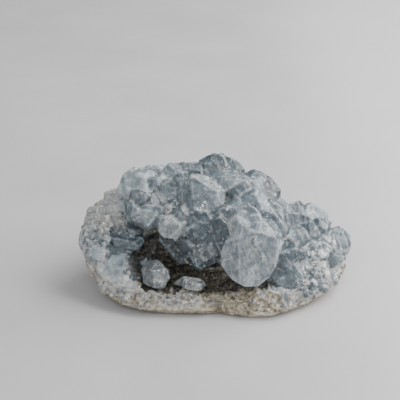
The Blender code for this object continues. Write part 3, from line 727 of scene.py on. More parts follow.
# The crystals that give the front its look. Each row: middle of the table face in mm (x, y, z),
# the way it faces (degrees to the right of the front, degrees above level, roll), depth in mm,
# then the half-width and half-height of an ordinary crystal, or the corners of the outline of
# one whose shape stands out, in mm right and up from the middle. Last, for most, comes how pale
# and how milky it is, from 0, dark or clear, to 1.
CRYSTALS = {
    "upper_left_slab": (
        (-28.5, 0, 38.8), (-14, 46, 0), 15,
        [(-6, -4.5), (-2, -6.5), (3.5, -5), (6, 0), (4.5, 4), (1, 5.5), (-2.5, 5), (-5.5, 1.5)],
        (0.72, 0.75),
    ),
    "ridge_left": ((-20.4, 4, 40.1), (-5, 62, 30), 12, (5.0, 4.0), (0.70, 0.80)),
    "ridge_left_small": ((-24.5, 5, 40.0), (-25, 60, 70), 10, (3.6, 3.0), (0.70, 0.80)),
    "ridge_middle": ((-15.0, 5, 40.6), (8, 58, 50), 11, (4.4, 3.6), (0.60, 0.70)),
    "upper_left_face": (
        (-17.6, -3, 36.2), (-4, 38, 0), 12,
        [(-3.5, -2), (-0.5, -4), (3, -2.5), (4, 0.8), (2.5, 3.8), (-1.2, 4.2), (-3.8, 2.2)],
        (0.46, 0.45),
    ),
    "upper_left_column": ((-22.6, -2, 36.8), (-14, 36, 4), 11, (3.0, 5.4), (0.56, 0.60)),
    "upper_left_blade": ((-12.3, -4, 37.0), (6, 38, 8), 10, (2.8, 5.8), (0.54, 0.55)),
    "great_face": (
        (-4.5, -7, 36.8), (2, 40, 0), 15,
        [(-6.6, -2), (-4, -6), (-0.7, -8), (3, -7.4), (6, -4.6), (6.4, 0.5),
         (4.8, 4.4), (0.5, 7), (-4, 7.2), (-7, 2.6)],
        (0.50, 0.50),
    ),
    "great_face_left": ((-10.4, -5, 33.6), (-10, 20, 30), 9, (3.6, 3.4), (0.42, 0.40)),
    "upper_right_face": (
        (10.2, -9, 34.0), (12, 42, 0), 14,
        [(-8, -1.6), (-4, -4.2), (0.6, -5.4), (5, -4.2), (8, -2.4), (7, 1.4),
         (5.2, 5), (-0.5, 4.4), (-5.6, 1.8)],
        (0.56, 0.55),
    ),
    "upper_right_table": (
        (4.6, 0, 40.4), (6, 62, 0), 13,
        [(-6, -2), (-1, -4.5), (4, -4.8), (6.5, -1), (4.5, 3), (-1.5, 4.5), (-5.5, 2.5)],
        (0.64, 0.65),
    ),
    "upper_right_end": ((13.5, -2, 38.0), (34, 50, -10), 12, (4.4, 5.0), (0.62, 0.70)),
    "upper_right_small": ((8.2, -4.2, 37.9), (10, 52, 30), 9, (3.4, 3.0)),
    "peak_crystal": (
        (-1.5, 7, 41.6), (-2, 36, 0), 14,
        [(-5.6, -1.5), (-3.4, -3.6), (3.5, -3.6), (5.4, -0.5), (3, 3.2), (-1.4, 3.8), (-4.6, 2)],
        (0.26, 0.30),
    ),
    "peak_top": ((-0.5, 10.0, 42.9), (10, 64, 16), 12, (5.2, 4.0), (0.55, 0.60)),
    "peak_right": ((6.0, 8, 40.6), (22, 48, 40), 12, (4.8, 4.2), (0.50, 0.50)),
    "peak_left": ((-10.5, 8, 41.4), (-20, 58, 6), 12, (5.2, 3.4), (0.56, 0.60)),
    "peak_back": ((4.0, 15, 40.6), (150, 52, 20), 12, (6.0, 5.4)),
    "left_blue_face": (
        (-28.0, -6, 34.2), (-14, 30, 0), 11,
        [(-3.6, -1), (-2.4, -3.2), (1.8, -3.6), (4, -1), (3.4, 2), (0.4, 3.4), (-2.8, 3)],
        (0.42, 0.40),
    ),
    "left_dark_face": ((-23.0, -8, 33.2), (10, 22, 40), 10, (3.8, 3.4), (0.26, 0.30)),
    "left_pale_point": (
        (-24.8, -11, 30.2), (-6, 24, 0), 11,
        [(-5, -0.6), (-3, -3.2), (0, -4.6), (3.2, -3.2), (5, -0.4), (4.4, 2.8), (-1, 3.4), (-4.4, 2.2)],
        (0.55, 0.55),
    ),
    "left_narrow": ((-31.2, -8, 29.4), (-30, 14, 4), 9, (2.0, 4.0), (0.55, 0.60)),
    # Its dark tone is partly painted shade, as it faces down under the pale point.
    "left_underside": ((-25.4, -8, 24.2), (-10, -22, 20), 10, (6.0, 4.4), (0.15, 0.30)),
    "white_crystal": (
        (-17.4, -15, 27.0), (-18, 14, 0), 10,
        [(-4, -0.6), (-1.5, -2.8), (2.4, -3.2), (4.6, -1), (3.6, 2), (0, 4), (-3, 3.2)],
        (0.80, 0.50),
    ),
    "white_neighbour": ((-12.4, -15.2, 24.8), (-2, 4, 22), 10, (4.2, 4.0), (0.68, 0.60)),
    "small_above_white": ((-13.0, -12, 31.2), (-6, 34, 50), 10, (4.0, 3.4), (0.40, 0.40)),
    "round_face": (
        (-6.1, -17, 27.4), (-6, 14, 0), 12,
        [(-4.8, 0.2), (-3.8, -3.2), (-0.8, -5.4), (3, -5), (5, -0.8), (4.2, 2.6), (1.8, 5.2),
         (-1.4, 5.4), (-4, 3.4)],
        (0.34, 0.35),
    ),
    "lens_face": (
        (0.4, -19.2, 25.2), (-8, 10, 0), 12,
        [(-3.4, -2.5), (-2.2, -5.4), (0.4, -7), (2.8, -4.6), (3.8, 0.6), (2.4, 4.8), (-0.2, 7.2),
         (-2.8, 5.8), (-3.6, 1.6)],
        (0.12, 0.22),
    ),
    "lens_nub": ((1.0, -13.5, 33.0), (0, 46, 20), 10, (3.4, 3.0), (0.36, 0.40)),
    "great_front": (
        (11.2, -22, 22.6), (8, 18, 0), 15,
        [(-8.6, -4.6), (-6, -8.8), (-2, -11.4), (2, -11.4), (5.4, -9), (8.2, -4.6), (9, 0.6),
         (7, 5.4), (3, 10), (-1.6, 11.6), (-6, 9), (-8.4, 3)],
        (0.70, 0.60),
    ),
    "great_front_side": ((17.6, -18.5, 25.0), (36, 26, 24), 12, (5.2, 6.0), (0.56, 0.50)),
    "great_front_top": ((8.4, -16.5, 32.0), (4, 50, 16), 11, (6.0, 4.8), (0.60, 0.60)),
    "hanging_blade": (
        (-16.4, -15, 20.0), (-24, -8, 0), 9,
        [(1.5, -6.4), (4.4, -6), (4.6, -3), (1.6, 1.6), (-2, 4.4), (-4.4, 4.2), (-4.2, 1)],
        (0.18, 0.30),
    ),
    "low_blue": (
        (-7.0, -18, 17.6), (-10, -2, 0), 10,
        [(-5.4, 0), (-3.4, -4), (0.8, -5.4), (4.2, -3), (4.8, 1.4), (2, 4.6), (-3, 4)],
        (0.40, 0.40),
    ),
    "low_blue_left": ((-12.0, -16.6, 19.4), (-24, -8, 36), 9, (3.4, 4.2), (0.30, 0.35)),
    "low_blue_right": ((-1.4, -18.2, 17.6), (8, -4, 18), 10, (3.6, 4.0), (0.40, 0.40)),
    "right_diamond": (
        (24.6, -18.4, 18.6), (12, 14, 0), 12,
        [(-6, 0.4), (-3.6, -3.8), (0.4, -5.6), (4, -3.6), (6, -1), (4.4, 2.6), (1.2, 4.6), (-3, 4)],
        (0.34, 0.35),
    ),
    "right_low_pale": ((22.9, -20.8, 11.4), (8, 24, 38), 12, (6.2, 5.2), (0.52, 0.50)),
    "right_low_inner": ((29.0, -16.6, 12.4), (24, 30, 12), 10, (4.2, 4.2), (0.50, 0.50)),
    "back_right_tall": (
        (18.2, 6, 31.5), (34, 30, 0), 15,
        [(-5.6, -4), (-2, -8), (3.4, -6.4), (6.2, -1), (5, 4), (1.4, 7.4), (-3.4, 7), (-6, 2)],
        (0.16, 0.25),
    ),
    "back_right_step": ((14.0, 6, 37.6), (24, 52, 34), 10, (3.6, 3.4), (0.40, 0.40)),
    "back_right_small": ((24.4, 3, 27.4), (40, 44, 22), 10, (3.6, 3.4)),
    "right_back_low": ((30.5, 5, 24.2), (14, 58, 12), 12, (5.2, 4.4)),
    "right_back_pale": ((36.4, 5, 22.0), (34, 48, 28), 12, (4.6, 5.0), (0.66, 0.70)),
    "right_smooth": (
        (28.6, -5, 24.8), (16, 46, 0), 12,
        [(-7, 0.6), (-3.6, -2.6), (1, -4), (4, -4), (6.4, -1.4), (4.6, 2), (0.4, 3.6), (-4.6, 3.6)],
        (0.44, 0.40),
    ),
    "right_smooth_side": ((21.0, -10, 27.0), (10, 40, 10), 11, (4.6, 4.0)),
    "right_brown": ((27.8, -10.4, 21.4), (22, 32, 12), 10, (4.6, 3.6), (0.50, 0.60)),
    "right_small_point": ((38.5, 0, 20.6), (28, 40, 42), 10, (3.4, 3.6)),
    "right_small_dark": ((33.6, -5, 19.6), (24, 28, 18), 10, (3.8, 3.8), (0.30, 0.35)),
    "right_end": (
        (45.6, 0.4, 14.2), (26, 28, 0), 12,
        [(-3, 0), (-1.6, -4), (2, -4.2), (4, -1), (3.2, 2.8), (0, 4.8), (-3, 3.6)],
        (0.62, 0.60),
    ),
    "right_end_small": ((46.4, 5.5, 13.8), (52, 40, 30), 10, (3.8, 3.6), (0.62, 0.65)),
    "right_inner_pale": ((39.4, -3, 15.6), (22, 34, 24), 11, (4.2, 4.2), (0.60, 0.60)),
    "right_rim_upper": ((34.0, -9, 13.6), (20, 34, 14), 11, (4.6, 4.4), (0.62, 0.60)),
    "right_rim_lower": ((36.2, -12, 9.4), (22, 30, 36), 11, (5.2, 4.0), (0.60, 0.60)),
    "between_upper": ((18.6, -14.0, 28.4), (12, 40, 28), 11, (4.0, 3.6)),
    "between_lower": ((20.6, -15.4, 23.6), (26, 24, 8), 10, (3.8, 3.8)),
    "between_back": ((20.2, -5.5, 30.6), (24, 46, 44), 11, (4.2, 4.0)),
    "recess_low": (
        (-32.6, -7.6, 18.4), (6, 18, -6), 11,
        [(-6, -0.6), (-4.6, -3), (0, -3.6), (4.4, -2.6), (5.8, 0.2), (4.6, 2.8), (-1, 3.4), (-5, 2.2)],
        (0.40, 0.80),
    ),
    "recess_high": ((-34.6, -4.5, 24.4), (10, 14, 30), 10, (5.0, 4.4), (0.36, 0.80)),
    "recess_side": ((-28.8, -6.5, 25.0), (-12, 4, 20), 9, (4.4, 3.6), (0.32, 0.75)),
    "wall_knob": ((-37.0, 0, 32.6), (-20, 44, 12), 11, (4.2, 4.2), (0.66, 0.90)),
    "wall_knob_left": ((-40.6, 0.5, 29.6), (-36, 42, 36), 10, (3.6, 3.4), (0.66, 0.90)),
    "wall_knob_low": ((-36.0, -4.0, 29.2), (-8, 22, 24), 9, (3.6, 3.2), (0.62, 0.90)),
    "wall_top_left": ((-44.4, -2.6, 26.6), (-38, 38, 18), 9, (3.4, 3.2), (0.70, 0.90)),
    "wall_top_outer": ((-45.2, 2.6, 24.0), (-50, 36, 8), 8, (3.0, 3.0), (0.70, 0.90)),
}

# Smaller crystals that fill the ground between and behind the ones above.
FILL_SEED = 20
FILL_COUNT = 80
FILL_TRIES = 6000
FILL_HALF_WIDTH = (2.0, 4.4)
FILL_DEPTH = 8.0
FILL_TILT = 24.0
FILL_STANDS_OUT = 1.6
FILL_LOWEST = 11.0
FILL_SPACING = 0.85
FILL_NO_FURTHER_FORWARD = -2.0
RIGHT_BANK_FROM = 24.0
RIGHT_BANK_FORWARD = -13.0
FILL_SWELLINGS = {
    "mound_core": 0.44,
    "mound_shoulder": 0.22,
    "right_bank": 0.24,
    "left_wall": 0.10,
}


def ordinary_planes(half_width, half_height, depth, dice):
    """The faces of an ordinary celestite crystal as (normal, distance) pairs, with the table
    face upward at z = 0. Like faces differ a little in size, as they do when crystals crowd."""
    wedge, dome, prism = (math.radians(a) for a in (WEDGE_FACE, DOME_FACE, PRISM_FACE))
    planes = [(Vector((0, 0, 1)), 0.0), (Vector((0, 0, -1)), depth)]
    for side in (1, -1):
        reach = half_width * dice.choice((dice.uniform(0.1, 0.5), dice.uniform(0.7, 0.95)))
        planes.append((Vector((side * math.sin(wedge), 0, math.cos(wedge))), reach * math.sin(wedge)))
        reach = half_height * dice.choice((dice.uniform(0.3, 0.6), dice.uniform(0.8, 0.95)))
        planes.append((Vector((0, side * math.sin(dome), math.cos(dome))), reach * math.sin(dome)))
        planes.append((Vector((side, 0, 0)), half_width * dice.uniform(0.92, 1.05)))
        planes.append((Vector((0, side, 0)), half_height * dice.uniform(0.95, 1.1)))
        for end in (1, -1):
            normal = Vector((side * math.cos(prism), end * math.sin(prism), 0))
            corner = abs(normal.x) * half_width + abs(normal.y) * half_height
            planes.append((normal, corner * dice.uniform(0.66, 0.82)))
    return planes


def outlined_planes(corners, depth, dice):
    """The faces of a crystal whose outline is given: its sides, and a sloping face of its own
    size between each side and the table face."""
    planes = [(Vector((0, 0, 1)), 0.0), (Vector((0, 0, -1)), depth)]
    size = max(math.hypot(x, y) for x, y in corners)
    for (x0, y0), (x1, y1) in zip(corners, corners[1:] + corners[:1]):
        side = Vector((y1 - y0, x0 - x1, 0)).normalized()
        reach = side.x * x0 + side.y * y0
        planes.append((side, reach))
        if dice.random() < BROAD_FACES:
            slope = math.radians(dice.uniform(22, 38))
            inset = size * dice.uniform(0.25, 0.5)
        else:
            slope = math.radians(dice.uniform(42, 60))
            inset = size * dice.uniform(0.02, 0.08)
        normal = side * math.sin(slope) + Vector((0, 0, math.cos(slope)))
        planes.append((normal, (reach - inset) * math.sin(slope)))
    return planes


def cut_crystal(planes, size):
    """A block cut down to the faces given."""
    bm = bmesh.new()
    bmesh.ops.create_cube(bm, size=size)
    for normal, distance in planes:
        cut = bmesh.ops.bisect_plane(
            bm,
            geom=bm.verts[:] + bm.edges[:] + bm.faces[:],
            dist=0.0001,
            plane_co=normal * distance,
            plane_no=normal,
            clear_outer=True,
        )
        edges = [item for item in cut["geom_cut"] if isinstance(item, bmesh.types.BMEdge)]
        if edges:
            bmesh.ops.contextual_create(bm, geom=edges)
    return bm


def facing_matrix(middle, facing):
    """The place and turn of a table face. With no turn it faces the front, -Y, with its
    width along +X."""
    yaw, pitch, roll = (math.radians(a) for a in facing)
    stand = Matrix.Rotation(math.pi / 2, 4, "X")
    turn = Matrix.Rotation(yaw, 4, "Z") @ Matrix.Rotation(-pitch, 4, "X") @ stand
    return Matrix.Translation(middle) @ turn @ Matrix.Rotation(roll, 4, "Z")


def half_size(shape):
    if isinstance(shape, list):
        return 0.8 * max(math.hypot(x, y) for x, y in shape)
    return max(shape)


def facing_of(normal):
    """(degrees to the right of the front, degrees above level) of a direction."""
    yaw = math.degrees(math.atan2(normal.x, -normal.y))
    return yaw, math.degrees(math.asin(max(-1.0, min(1.0, normal.z))))


def has_fill(place):
    if place.z < FILL_LOWEST:
        return False
    if place.x > RIGHT_BANK_FROM:
        return place.y > RIGHT_BANK_FORWARD
    return place.y > FILL_NO_FURTHER_FORWARD


def fill_rows(dice):
    """Rows for the small crystals: they stand out of the swellings wherever there is room
    between the named crystals, and never in the hollow or on the front below the ridge."""
    taken = [(Vector(row[0]), half_size(row[3])) for row in CRYSTALS.values()]
    rows = []
    names, weights = list(FILL_SWELLINGS), list(FILL_SWELLINGS.values())
    for _ in range(FILL_TRIES):
        if len(rows) == FILL_COUNT:
            break
        middle, half, _ = SWELLINGS[dice.choices(names, weights)[0]]
        out = Vector((dice.gauss(0, 1), dice.gauss(0, 1), abs(dice.gauss(0, 1)) - 0.25))
        out.normalize()
        size = dice.uniform(*FILL_HALF_WIDTH)
        place = Vector([m + o * h for m, o, h in zip(middle, out, half)])
        normal = Vector([o / h for o, h in zip(out, half)]).normalized()
        tilt, roll = dice.uniform(-FILL_TILT, FILL_TILT), dice.uniform(0, 180)
        if not has_fill(place):
            continue
        if any((place - other).length < FILL_SPACING * (size + reach) for other, reach in taken):
            continue
        taken.append((place, size))
        yaw, pitch = facing_of(normal)
        face = place + normal * FILL_STANDS_OUT
        rows.append((face, (yaw + tilt, pitch + 0.5 * tilt, roll), FILL_DEPTH, (size, size * 1.1)))
    return rows


class Crystal:
    """A block of celestite as the planes of its faces: inside is where normal . p < distance."""

    def __init__(self, name, row, dice):
        middle, facing, depth, shape, *look = row
        if isinstance(shape, list):
            planes = outlined_planes([(x * CROWDING, y * CROWDING) for x, y in shape], depth, dice)
        else:
            planes = ordinary_planes(*[v * CROWDING for v in shape], depth, dice)
        self.name = name
        self.look = look[0] if look else ORDINARY_LOOK
        self.mesh = cut_crystal(planes, 4 * max(depth, 12))
        place = Matrix.Translation(CENTRING) @ facing_matrix(Vector(middle), facing)
        bmesh.ops.transform(self.mesh, matrix=place, verts=self.mesh.verts[:])
        bmesh.ops.recalc_face_normals(self.mesh, faces=self.mesh.faces[:])
        turn = place.to_3x3()
        self.normals = np.array([turn @ n for n, _ in planes])
        self.distances = np.array([d + (turn @ n).dot(place.translation) for n, d in planes])
        corners = np.array([v.co for v in self.mesh.verts])
        self.middle = corners.mean(0)
        self.reach = np.linalg.norm(corners - self.middle, axis=1).max()

    def measure(self, points):
        """For points near the crystal: how far each is outside its faces, with rounded edges,
        the direction out, the gap to the next face, and which face is nearest."""
        over = points @ self.normals.T - self.distances
        top = over.max(1)
        weight = np.exp((over - top[:, None]) / EDGE_ROUNDING)
        total = weight.sum(1)
        away = top + EDGE_ROUNDING * np.log(total)
        out = (weight / total[:, None]) @ self.normals
        next_face = np.partition(over, -2, axis=1)[:, -2]
        return away, out, top - next_face, over.argmax(1)


def measure_all(points, crystals, margin=2.5):
    """The same for the whole heap: the distance outside the union, with filleted joints, the
    direction out, the nearest crystal and its next-face gap, the gap to the next crystal, and
    which face is nearest. A crystal that lies along a face, just under it, makes no joint."""
    count = len(points)
    total = np.zeros(count)
    out = np.zeros((count, 3))
    best = np.full(count, 9.0)
    second = np.full(count, 9.0)
    best_out = np.zeros((count, 3))
    second_out = np.zeros((count, 3))
    owner = np.full(count, -1)
    edge = np.full(count, 9.0)
    face = np.zeros(count, int)
    for index, crystal in enumerate(crystals):
        near = np.nonzero(((points - crystal.middle) ** 2).sum(1) < (crystal.reach + margin) ** 2)[0]
        if not len(near):
            continue
        away, direction, gap, which = crystal.measure(points[near])
        weight = np.exp(-np.clip(away, -12, 12) / JOINT_FILLET)
        total[near] += weight
        out[near] += weight[:, None] * direction
        closer = away < best[near]
        rows = near[closer]
        second[rows], second_out[rows] = best[rows], best_out[rows]
        best[rows], best_out[rows] = away[closer], direction[closer]
        next_closest = ~closer & (away < second[near])
        next_rows = near[next_closest]
        second[next_rows], second_out[next_rows] = away[next_closest], direction[next_closest]
        owner[rows] = index
        edge[rows] = gap[closer]
        face[rows] = which[closer]
    away = -JOINT_FILLET * np.log(np.maximum(total, 1e-30))
    length = np.linalg.norm(out, axis=1)
    out /= np.maximum(length, 1e-12)[:, None]
    along = (best_out * second_out).sum(1)
    return away, out, owner, edge, second - best + 3 * smooth(0.6, 0.9, along), face


def cream_wall(x, z, lean=0.0):
    """1 on the cream crystals that top the left wall."""
    return smooth(21, 25, z) * smooth(-31, -34.5, x + lean * (z - 28))


dice = random.Random(FILL_SEED)
crystals = [Crystal(name, row, dice) for name, row in CRYSTALS.items()]
crystals += [Crystal(f"fill_{i}", row, dice) for i, row in enumerate(fill_rows(dice))]
blocks = bpy.data.collections.new("blocks")
heap = add_piece(crystals[0].name, crystals[0].mesh)
for crystal in crystals[1:]:
    add_piece(crystal.name, crystal.mesh, blocks)
cut_with(heap, "UNION", blocks)
cut_with(heap, "INTERSECT", cluster)
apply_modifiers(heap)
remesh(heap, CRYSTAL_VOXEL)
points, normals = points_of(heap)
points = points.astype(np.float64)

# Each point that lies near a crystal's face is drawn onto it.
for _ in range(2):
    away, out, owner = measure_all(points, crystals)[:3]
    free = (np.abs(away) < NEAR_A_FACE) & (owner >= 0)
    points[free] -= out[free] * away[free, None]
away, out, owner, edge, joint, face = measure_all(points, crystals)
free = (np.abs(away) < ON_A_FACE) & (owner >= 0)

# The smaller crystals, and the faces of each one, differ a little in tone.
tones = np.random.RandomState(TONE_SEED)
looks = np.array([c.look for c in crystals])
looks[len(CRYSTALS):, 0] += tones.uniform(*FILL_TONES, len(crystals) - len(CRYSTALS))
face_tone = FACE_TONES * tones.uniform(-1, 1, (len(crystals), MOST_FACES))

wave = lumps(points, 2.6, 14, 3) * 0.5 + lumps(points, 7.0, 15) * 0.5
joint = np.maximum(joint, 0)
groove = GROOVE_DEPTH * np.exp(-joint / GROOVE_WIDTH)
sink = FACE_WAVE * (1 + wave) + groove * (1 + lumps(points, 1.5, 16))
points[free] -= out[free] * sink[free, None]
set_points(heap, points)
cream = np.array([CREAM.get(c.name, 0.0) for c in crystals])[owner]
add_measures(
    heap,
    pale=np.where(free, looks[owner, 0] + face_tone[owner, face], 0.5),
    milk=np.where(free, looks[owner, 1], 0.9),
    cream=np.maximum(cream_wall(points[:, 0], points[:, 2], 0.35), np.where(free, cream, 0)),
    edge=np.where(free, np.exp(-edge / EDGE_WEAR_AND_HIGHLIGHT), 0),
    joint=np.where(free, np.exp(-joint / JOINT_DIRT), 1),
)
to_metres(heap, "crystals")


def celestite(name, milk_more=0.0):
    """Clear to milky celestite, as the crystal's own measures say."""
    finish = Finish(name)
    pale, milk = finish.measure("pale"), finish.measure("milk")
    edge, joint = finish.measure("edge"), finish.measure("joint")
    creamy = finish.measure("cream")
    cloud = finish.noise(2.4, 4, 0.6, shift=5, stretch=0.6)
    veil = finish.noise(5.5, 3, 0.5, shift=17, stretch=1.2)
    fine = finish.noise(0.7, 3, 0.6, shift=29)
    dirt = finish.noise(3.4, 4, 0.65, shift=41)
    streak = finish.noise(1.5, 3, 0.6, shift=71, stretch=0.8, tall=4.0) - 0.5
    paleness = pale - 0.11 + (veil - 0.5) * 0.55 + (cloud - 0.5) * 0.3
    base = finish.ramp(
        paleness + streak * (0.25 + creamy * 1.3),
        [
            (0.0, (0.045, 0.066, 0.077)),
            (0.25, (0.108, 0.148, 0.170)),
            (0.5, (0.198, 0.248, 0.274)),
            (0.75, (0.335, 0.385, 0.407)),
            (1.0, (0.64, 0.655, 0.655)),
        ],
    )

    # Edges are paler, partly from wear and partly as a painted highlight, and dirt lies in the joints.
    worn_and_lit_edge = finish.step(edge + (cloud - 0.5) * 1.4, 0.55, 1.1)
    base = finish.mix(worn_and_lit_edge * 0.28, base, (0.50, 0.54, 0.55))
    seam = finish.step(joint + (dirt - 0.5) * 1.3, 0.50, 0.88)
    cream = finish.ramp(fine, [(0.35, (0.30, 0.27, 0.22)), (0.6, (0.62, 0.58, 0.52))])
    base = finish.mix(seam * 0.7, base, cream)

    # The few cream crystals.
    beige = finish.ramp(
        fine * 0.6 + cloud * 0.4,
        [(0.34, (0.20, 0.195, 0.18)), (0.5, (0.38, 0.375, 0.355)), (0.66, (0.60, 0.595, 0.57))],
    )
    creaminess = creamy * (0.75 + (veil - 0.5) * 1.2 + streak * 2.4)
    base = finish.mix(creaminess.clamped(), base, beige)

    # Thin white cracks, and white specks that are partly real and partly painted glints.
    crack = finish.cells(5.0, "DISTANCE_TO_EDGE") + (cloud - 0.5) * 0.22
    crack = finish.step(crack, 0.055, 0.0) * finish.step(veil, 0.46, 0.58)
    base = finish.mix(crack * 0.4, base, (0.66, 0.67, 0.66))
    specks_and_glints = finish.step(finish.noise(0.8, 2, 0.5, shift=53) + (veil - 0.5) * 0.5, 0.68, 0.74)
    base = finish.mix(specks_and_glints * 0.9, base, (0.80, 0.80, 0.79))

    # Clear celestite, and how much of the milky kind is mixed with it.
    milky = milk + (0.08 + milk_more) + (cloud - 0.5) + (veil - 0.5) * 0.6 + worn_and_lit_edge * 0.3
    milky = milky + seam * 0.6 + specks_and_glints * 0.6 + crack * 0.35 + creamy * 0.4 + streak * 0.7
    bumps = finish.relief(finish.noise(1.8, 3, 0.6, shift=61), 0.24, 0.6)
    bumps = finish.relief(finish.cells(2.3) + (veil - 0.5) * 0.6, 0.42, 0.55, onto=bumps)
    bumps = finish.relief(fine, 0.06, 0.5, onto=bumps)
    rough = 0.16 + cloud * 0.2 + seam * 0.3
    clear = finish.surface(
        Base_Color=(0.86, 0.92, 0.95),
        Roughness=rough * 0.6,
        IOR=CELESTITE_IOR,
        Transmission_Weight=1.0,
        Normal=bumps,
    )
    dull = finish.surface(
        Base_Color=base,
        Roughness=rough,
        IOR=CELESTITE_IOR,
        Subsurface_Weight=0.55,
        Subsurface_Radius=(0.9, 1.0, 1.1),
        Subsurface_Scale=1.8 * MM,
        Normal=bumps,
    )
    both = finish.add("ShaderNodeMixShader", {}, {0: milky.clamped(), 1: clear, 2: dull})
    tint = {"Color": (0.48, 0.66, 0.76), "Density": 95.0}
    taken = finish.add("ShaderNodeVolumeAbsorption", {}, tint)
    return finish.end(Shade(both.outputs["Shader"]), Shade(taken.outputs["Volume"]))


crystal_finish = celestite("celestite")
wear(heap, crystal_finish)
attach(heap, "root")
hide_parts("crystal_cluster")

# The small crystals: grains of celestite one or two millimetres across that stand on the
# broken massive bed and along the seams between the large crystals, white to pale blue.

SMALL_KINDS = 9
SMALL_SEED = 31
SMALL_LENGTHS = (0.9, 1.5)
SMALL_DEPTH = 2.2
SMALL_WITHIN = 48.0
CLEAR_OF_CRYSTALS = 0.25
CLEAR_OF_ROCK = 0.8

# How many there are, their half-widths, and the ranges of how pale they are.
ON_BED = (900, (0.55, 1.25), [(0.5, 0.75), (0.85, 1.15)])
IN_JOINTS = (260, (0.35, 0.8), [(0.4, 0.95)])


def small_kinds(dice):
    """A few small crystals of unit size, as corners and faces, to be set in many places."""
    kinds = []
    for _ in range(SMALL_KINDS):
        planes = ordinary_planes(1.0, dice.uniform(*SMALL_LENGTHS), SMALL_DEPTH, dice)
        bm = cut_crystal(planes, 8)
        bm.verts.index_update()
        corners = np.array([v.co for v in bm.verts])
        kinds.append((corners, [[v.index for v in f.verts] for f in bm.faces]))
        bm.free()
    return kinds


def pick_spots(points, allowed, count):
    """The rows of this many of the allowed points, and a number from 0 to 1 for each. They are
    picked by where they lie, so that the order of a mesh's points doesn't matter."""
    x, y, z = np.round(points, 2).T
    mixed = SCATTER[0] * x + SCATTER[1] * y + SCATTER[2] * z
    numbers = np.abs(4375.85 * np.sin(mixed)) % 1.0
    rows = np.nonzero(allowed)[0]
    rows = rows[np.argsort(numbers[rows])[:count]]
    return rows, numbers[rows]


def measure_of(obj, name):
    values = np.empty(len(obj.data.vertices), np.float32)
    obj.data.attributes[name].data.foreach_get("value", values)
    return values


def surface_of(obj):
    """The points in mm of an object that is in metres already, and the way out at each."""
    points, normals = points_of(obj)
    return points.astype(np.float64) / MM, normals


kinds = small_kinds(random.Random(SMALL_SEED))
small_corners, small_faces, small_pale = [], [], []


def set_small(points, directions, allowed, count, sizes, tones):
    """Adds small crystals at allowed points, each with its table face outward."""
    for row, number in zip(*pick_spots(points, allowed, count)):
        dice = random.Random(int(number * 1e9))
        shape, sides = kinds[dice.randrange(len(kinds))]
        size = dice.uniform(*sizes)
        way = Vector(directions[row]) + Vector([dice.gauss(0, 0.35) for _ in range(3)])
        spin = Matrix.Rotation(dice.uniform(0, 6.28), 3, "Z")
        turn = way.to_track_quat("Z", "Y").to_matrix() @ spin
        spot = points[row] + directions[row] * (0.12 - 0.1 * size)
        small_faces.extend([i + len(small_corners) for i in side] for side in sides)
        small_corners.extend(((shape * size) @ np.array(turn).T + spot).tolist())
        small_pale.extend([dice.uniform(*dice.choice(tones))] * len(shape))


bed, bed_out = surface_of(massive)
x, y, z = bed.T
bare = (measure_all(bed, crystals)[0] > CLEAR_OF_CRYSTALS) & (np.abs(x) < SMALL_WITHIN)
bare &= (away_from(bed, "host_rock") > CLEAR_OF_ROCK) & (measure_of(massive, "stain") < 0.25)
bare &= (z > 20) | (x > 14) | (lumps(bed, 5.0, 33) > 0.35)
set_small(bed, bed_out, bare, *ON_BED)
joints, joint_out = surface_of(heap)
in_joint = (measure_of(heap, "joint") > 0.75) & (np.abs(joints[:, 0]) < SMALL_WITHIN)
in_joint &= joint_out[:, 2] > -0.3
set_small(joints, joint_out, in_joint, *IN_JOINTS)
mesh = bpy.data.meshes.new("small_crystals")
mesh.from_pydata(small_corners, [], small_faces)
small = add_object("small_crystals", mesh)
x, y, z = points_of(small)[0].T
pale = np.array(small_pale)
add_measures(small, pale=pale, milk=0.35 + 0.5 * pale, edge=0.3, joint=0.0, cream=cream_wall(x, z))
to_metres(small, "small_crystals", smooth_faces=False)
wear(small, crystal_finish)
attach(small, "root")
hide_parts("crystal_cluster")
bpy.data.objects.remove(cluster)
for helpers in (blocks, swellings):
    for obj in list(helpers.objects):
        bpy.data.objects.remove(obj)
    bpy.data.collections.remove(helpers)

# The single crystals in the hollow: three that stand on bare rock, clear of the rest. They
# are nearly colourless, one a little flat and grey, one small and dark.

# Rows like those of the large crystals. The look also has how cream each one is.
HOLLOW_CRYSTALS = {
    "hollow_crystal_clear": ((-22.0, -20.8, 11.4), (0, 22, 8), 6, (4.3, 4.4), (0.58, 0.24, 0.55)),
    "hollow_crystal_pale": ((-8.7, -23.0, 8.8), (8, 34, 76), 7, (3.0, 5.2), (0.60, 0.33, 0.85)),
    "hollow_crystal_dark": ((-25.2, -12.8, 11.0), (2, 20, 30), 5.5, (2.6, 2.6), (0.20, 0.50, 0.0)),
}
LONE_VOXEL = 0.3
LONE_NEAR_A_FACE = 0.5
LONE_WAVE = 0.06
# How far from an edge its wear and painted highlight fall to a third.
LONE_EDGE_WEAR_AND_HIGHLIGHT = 0.5


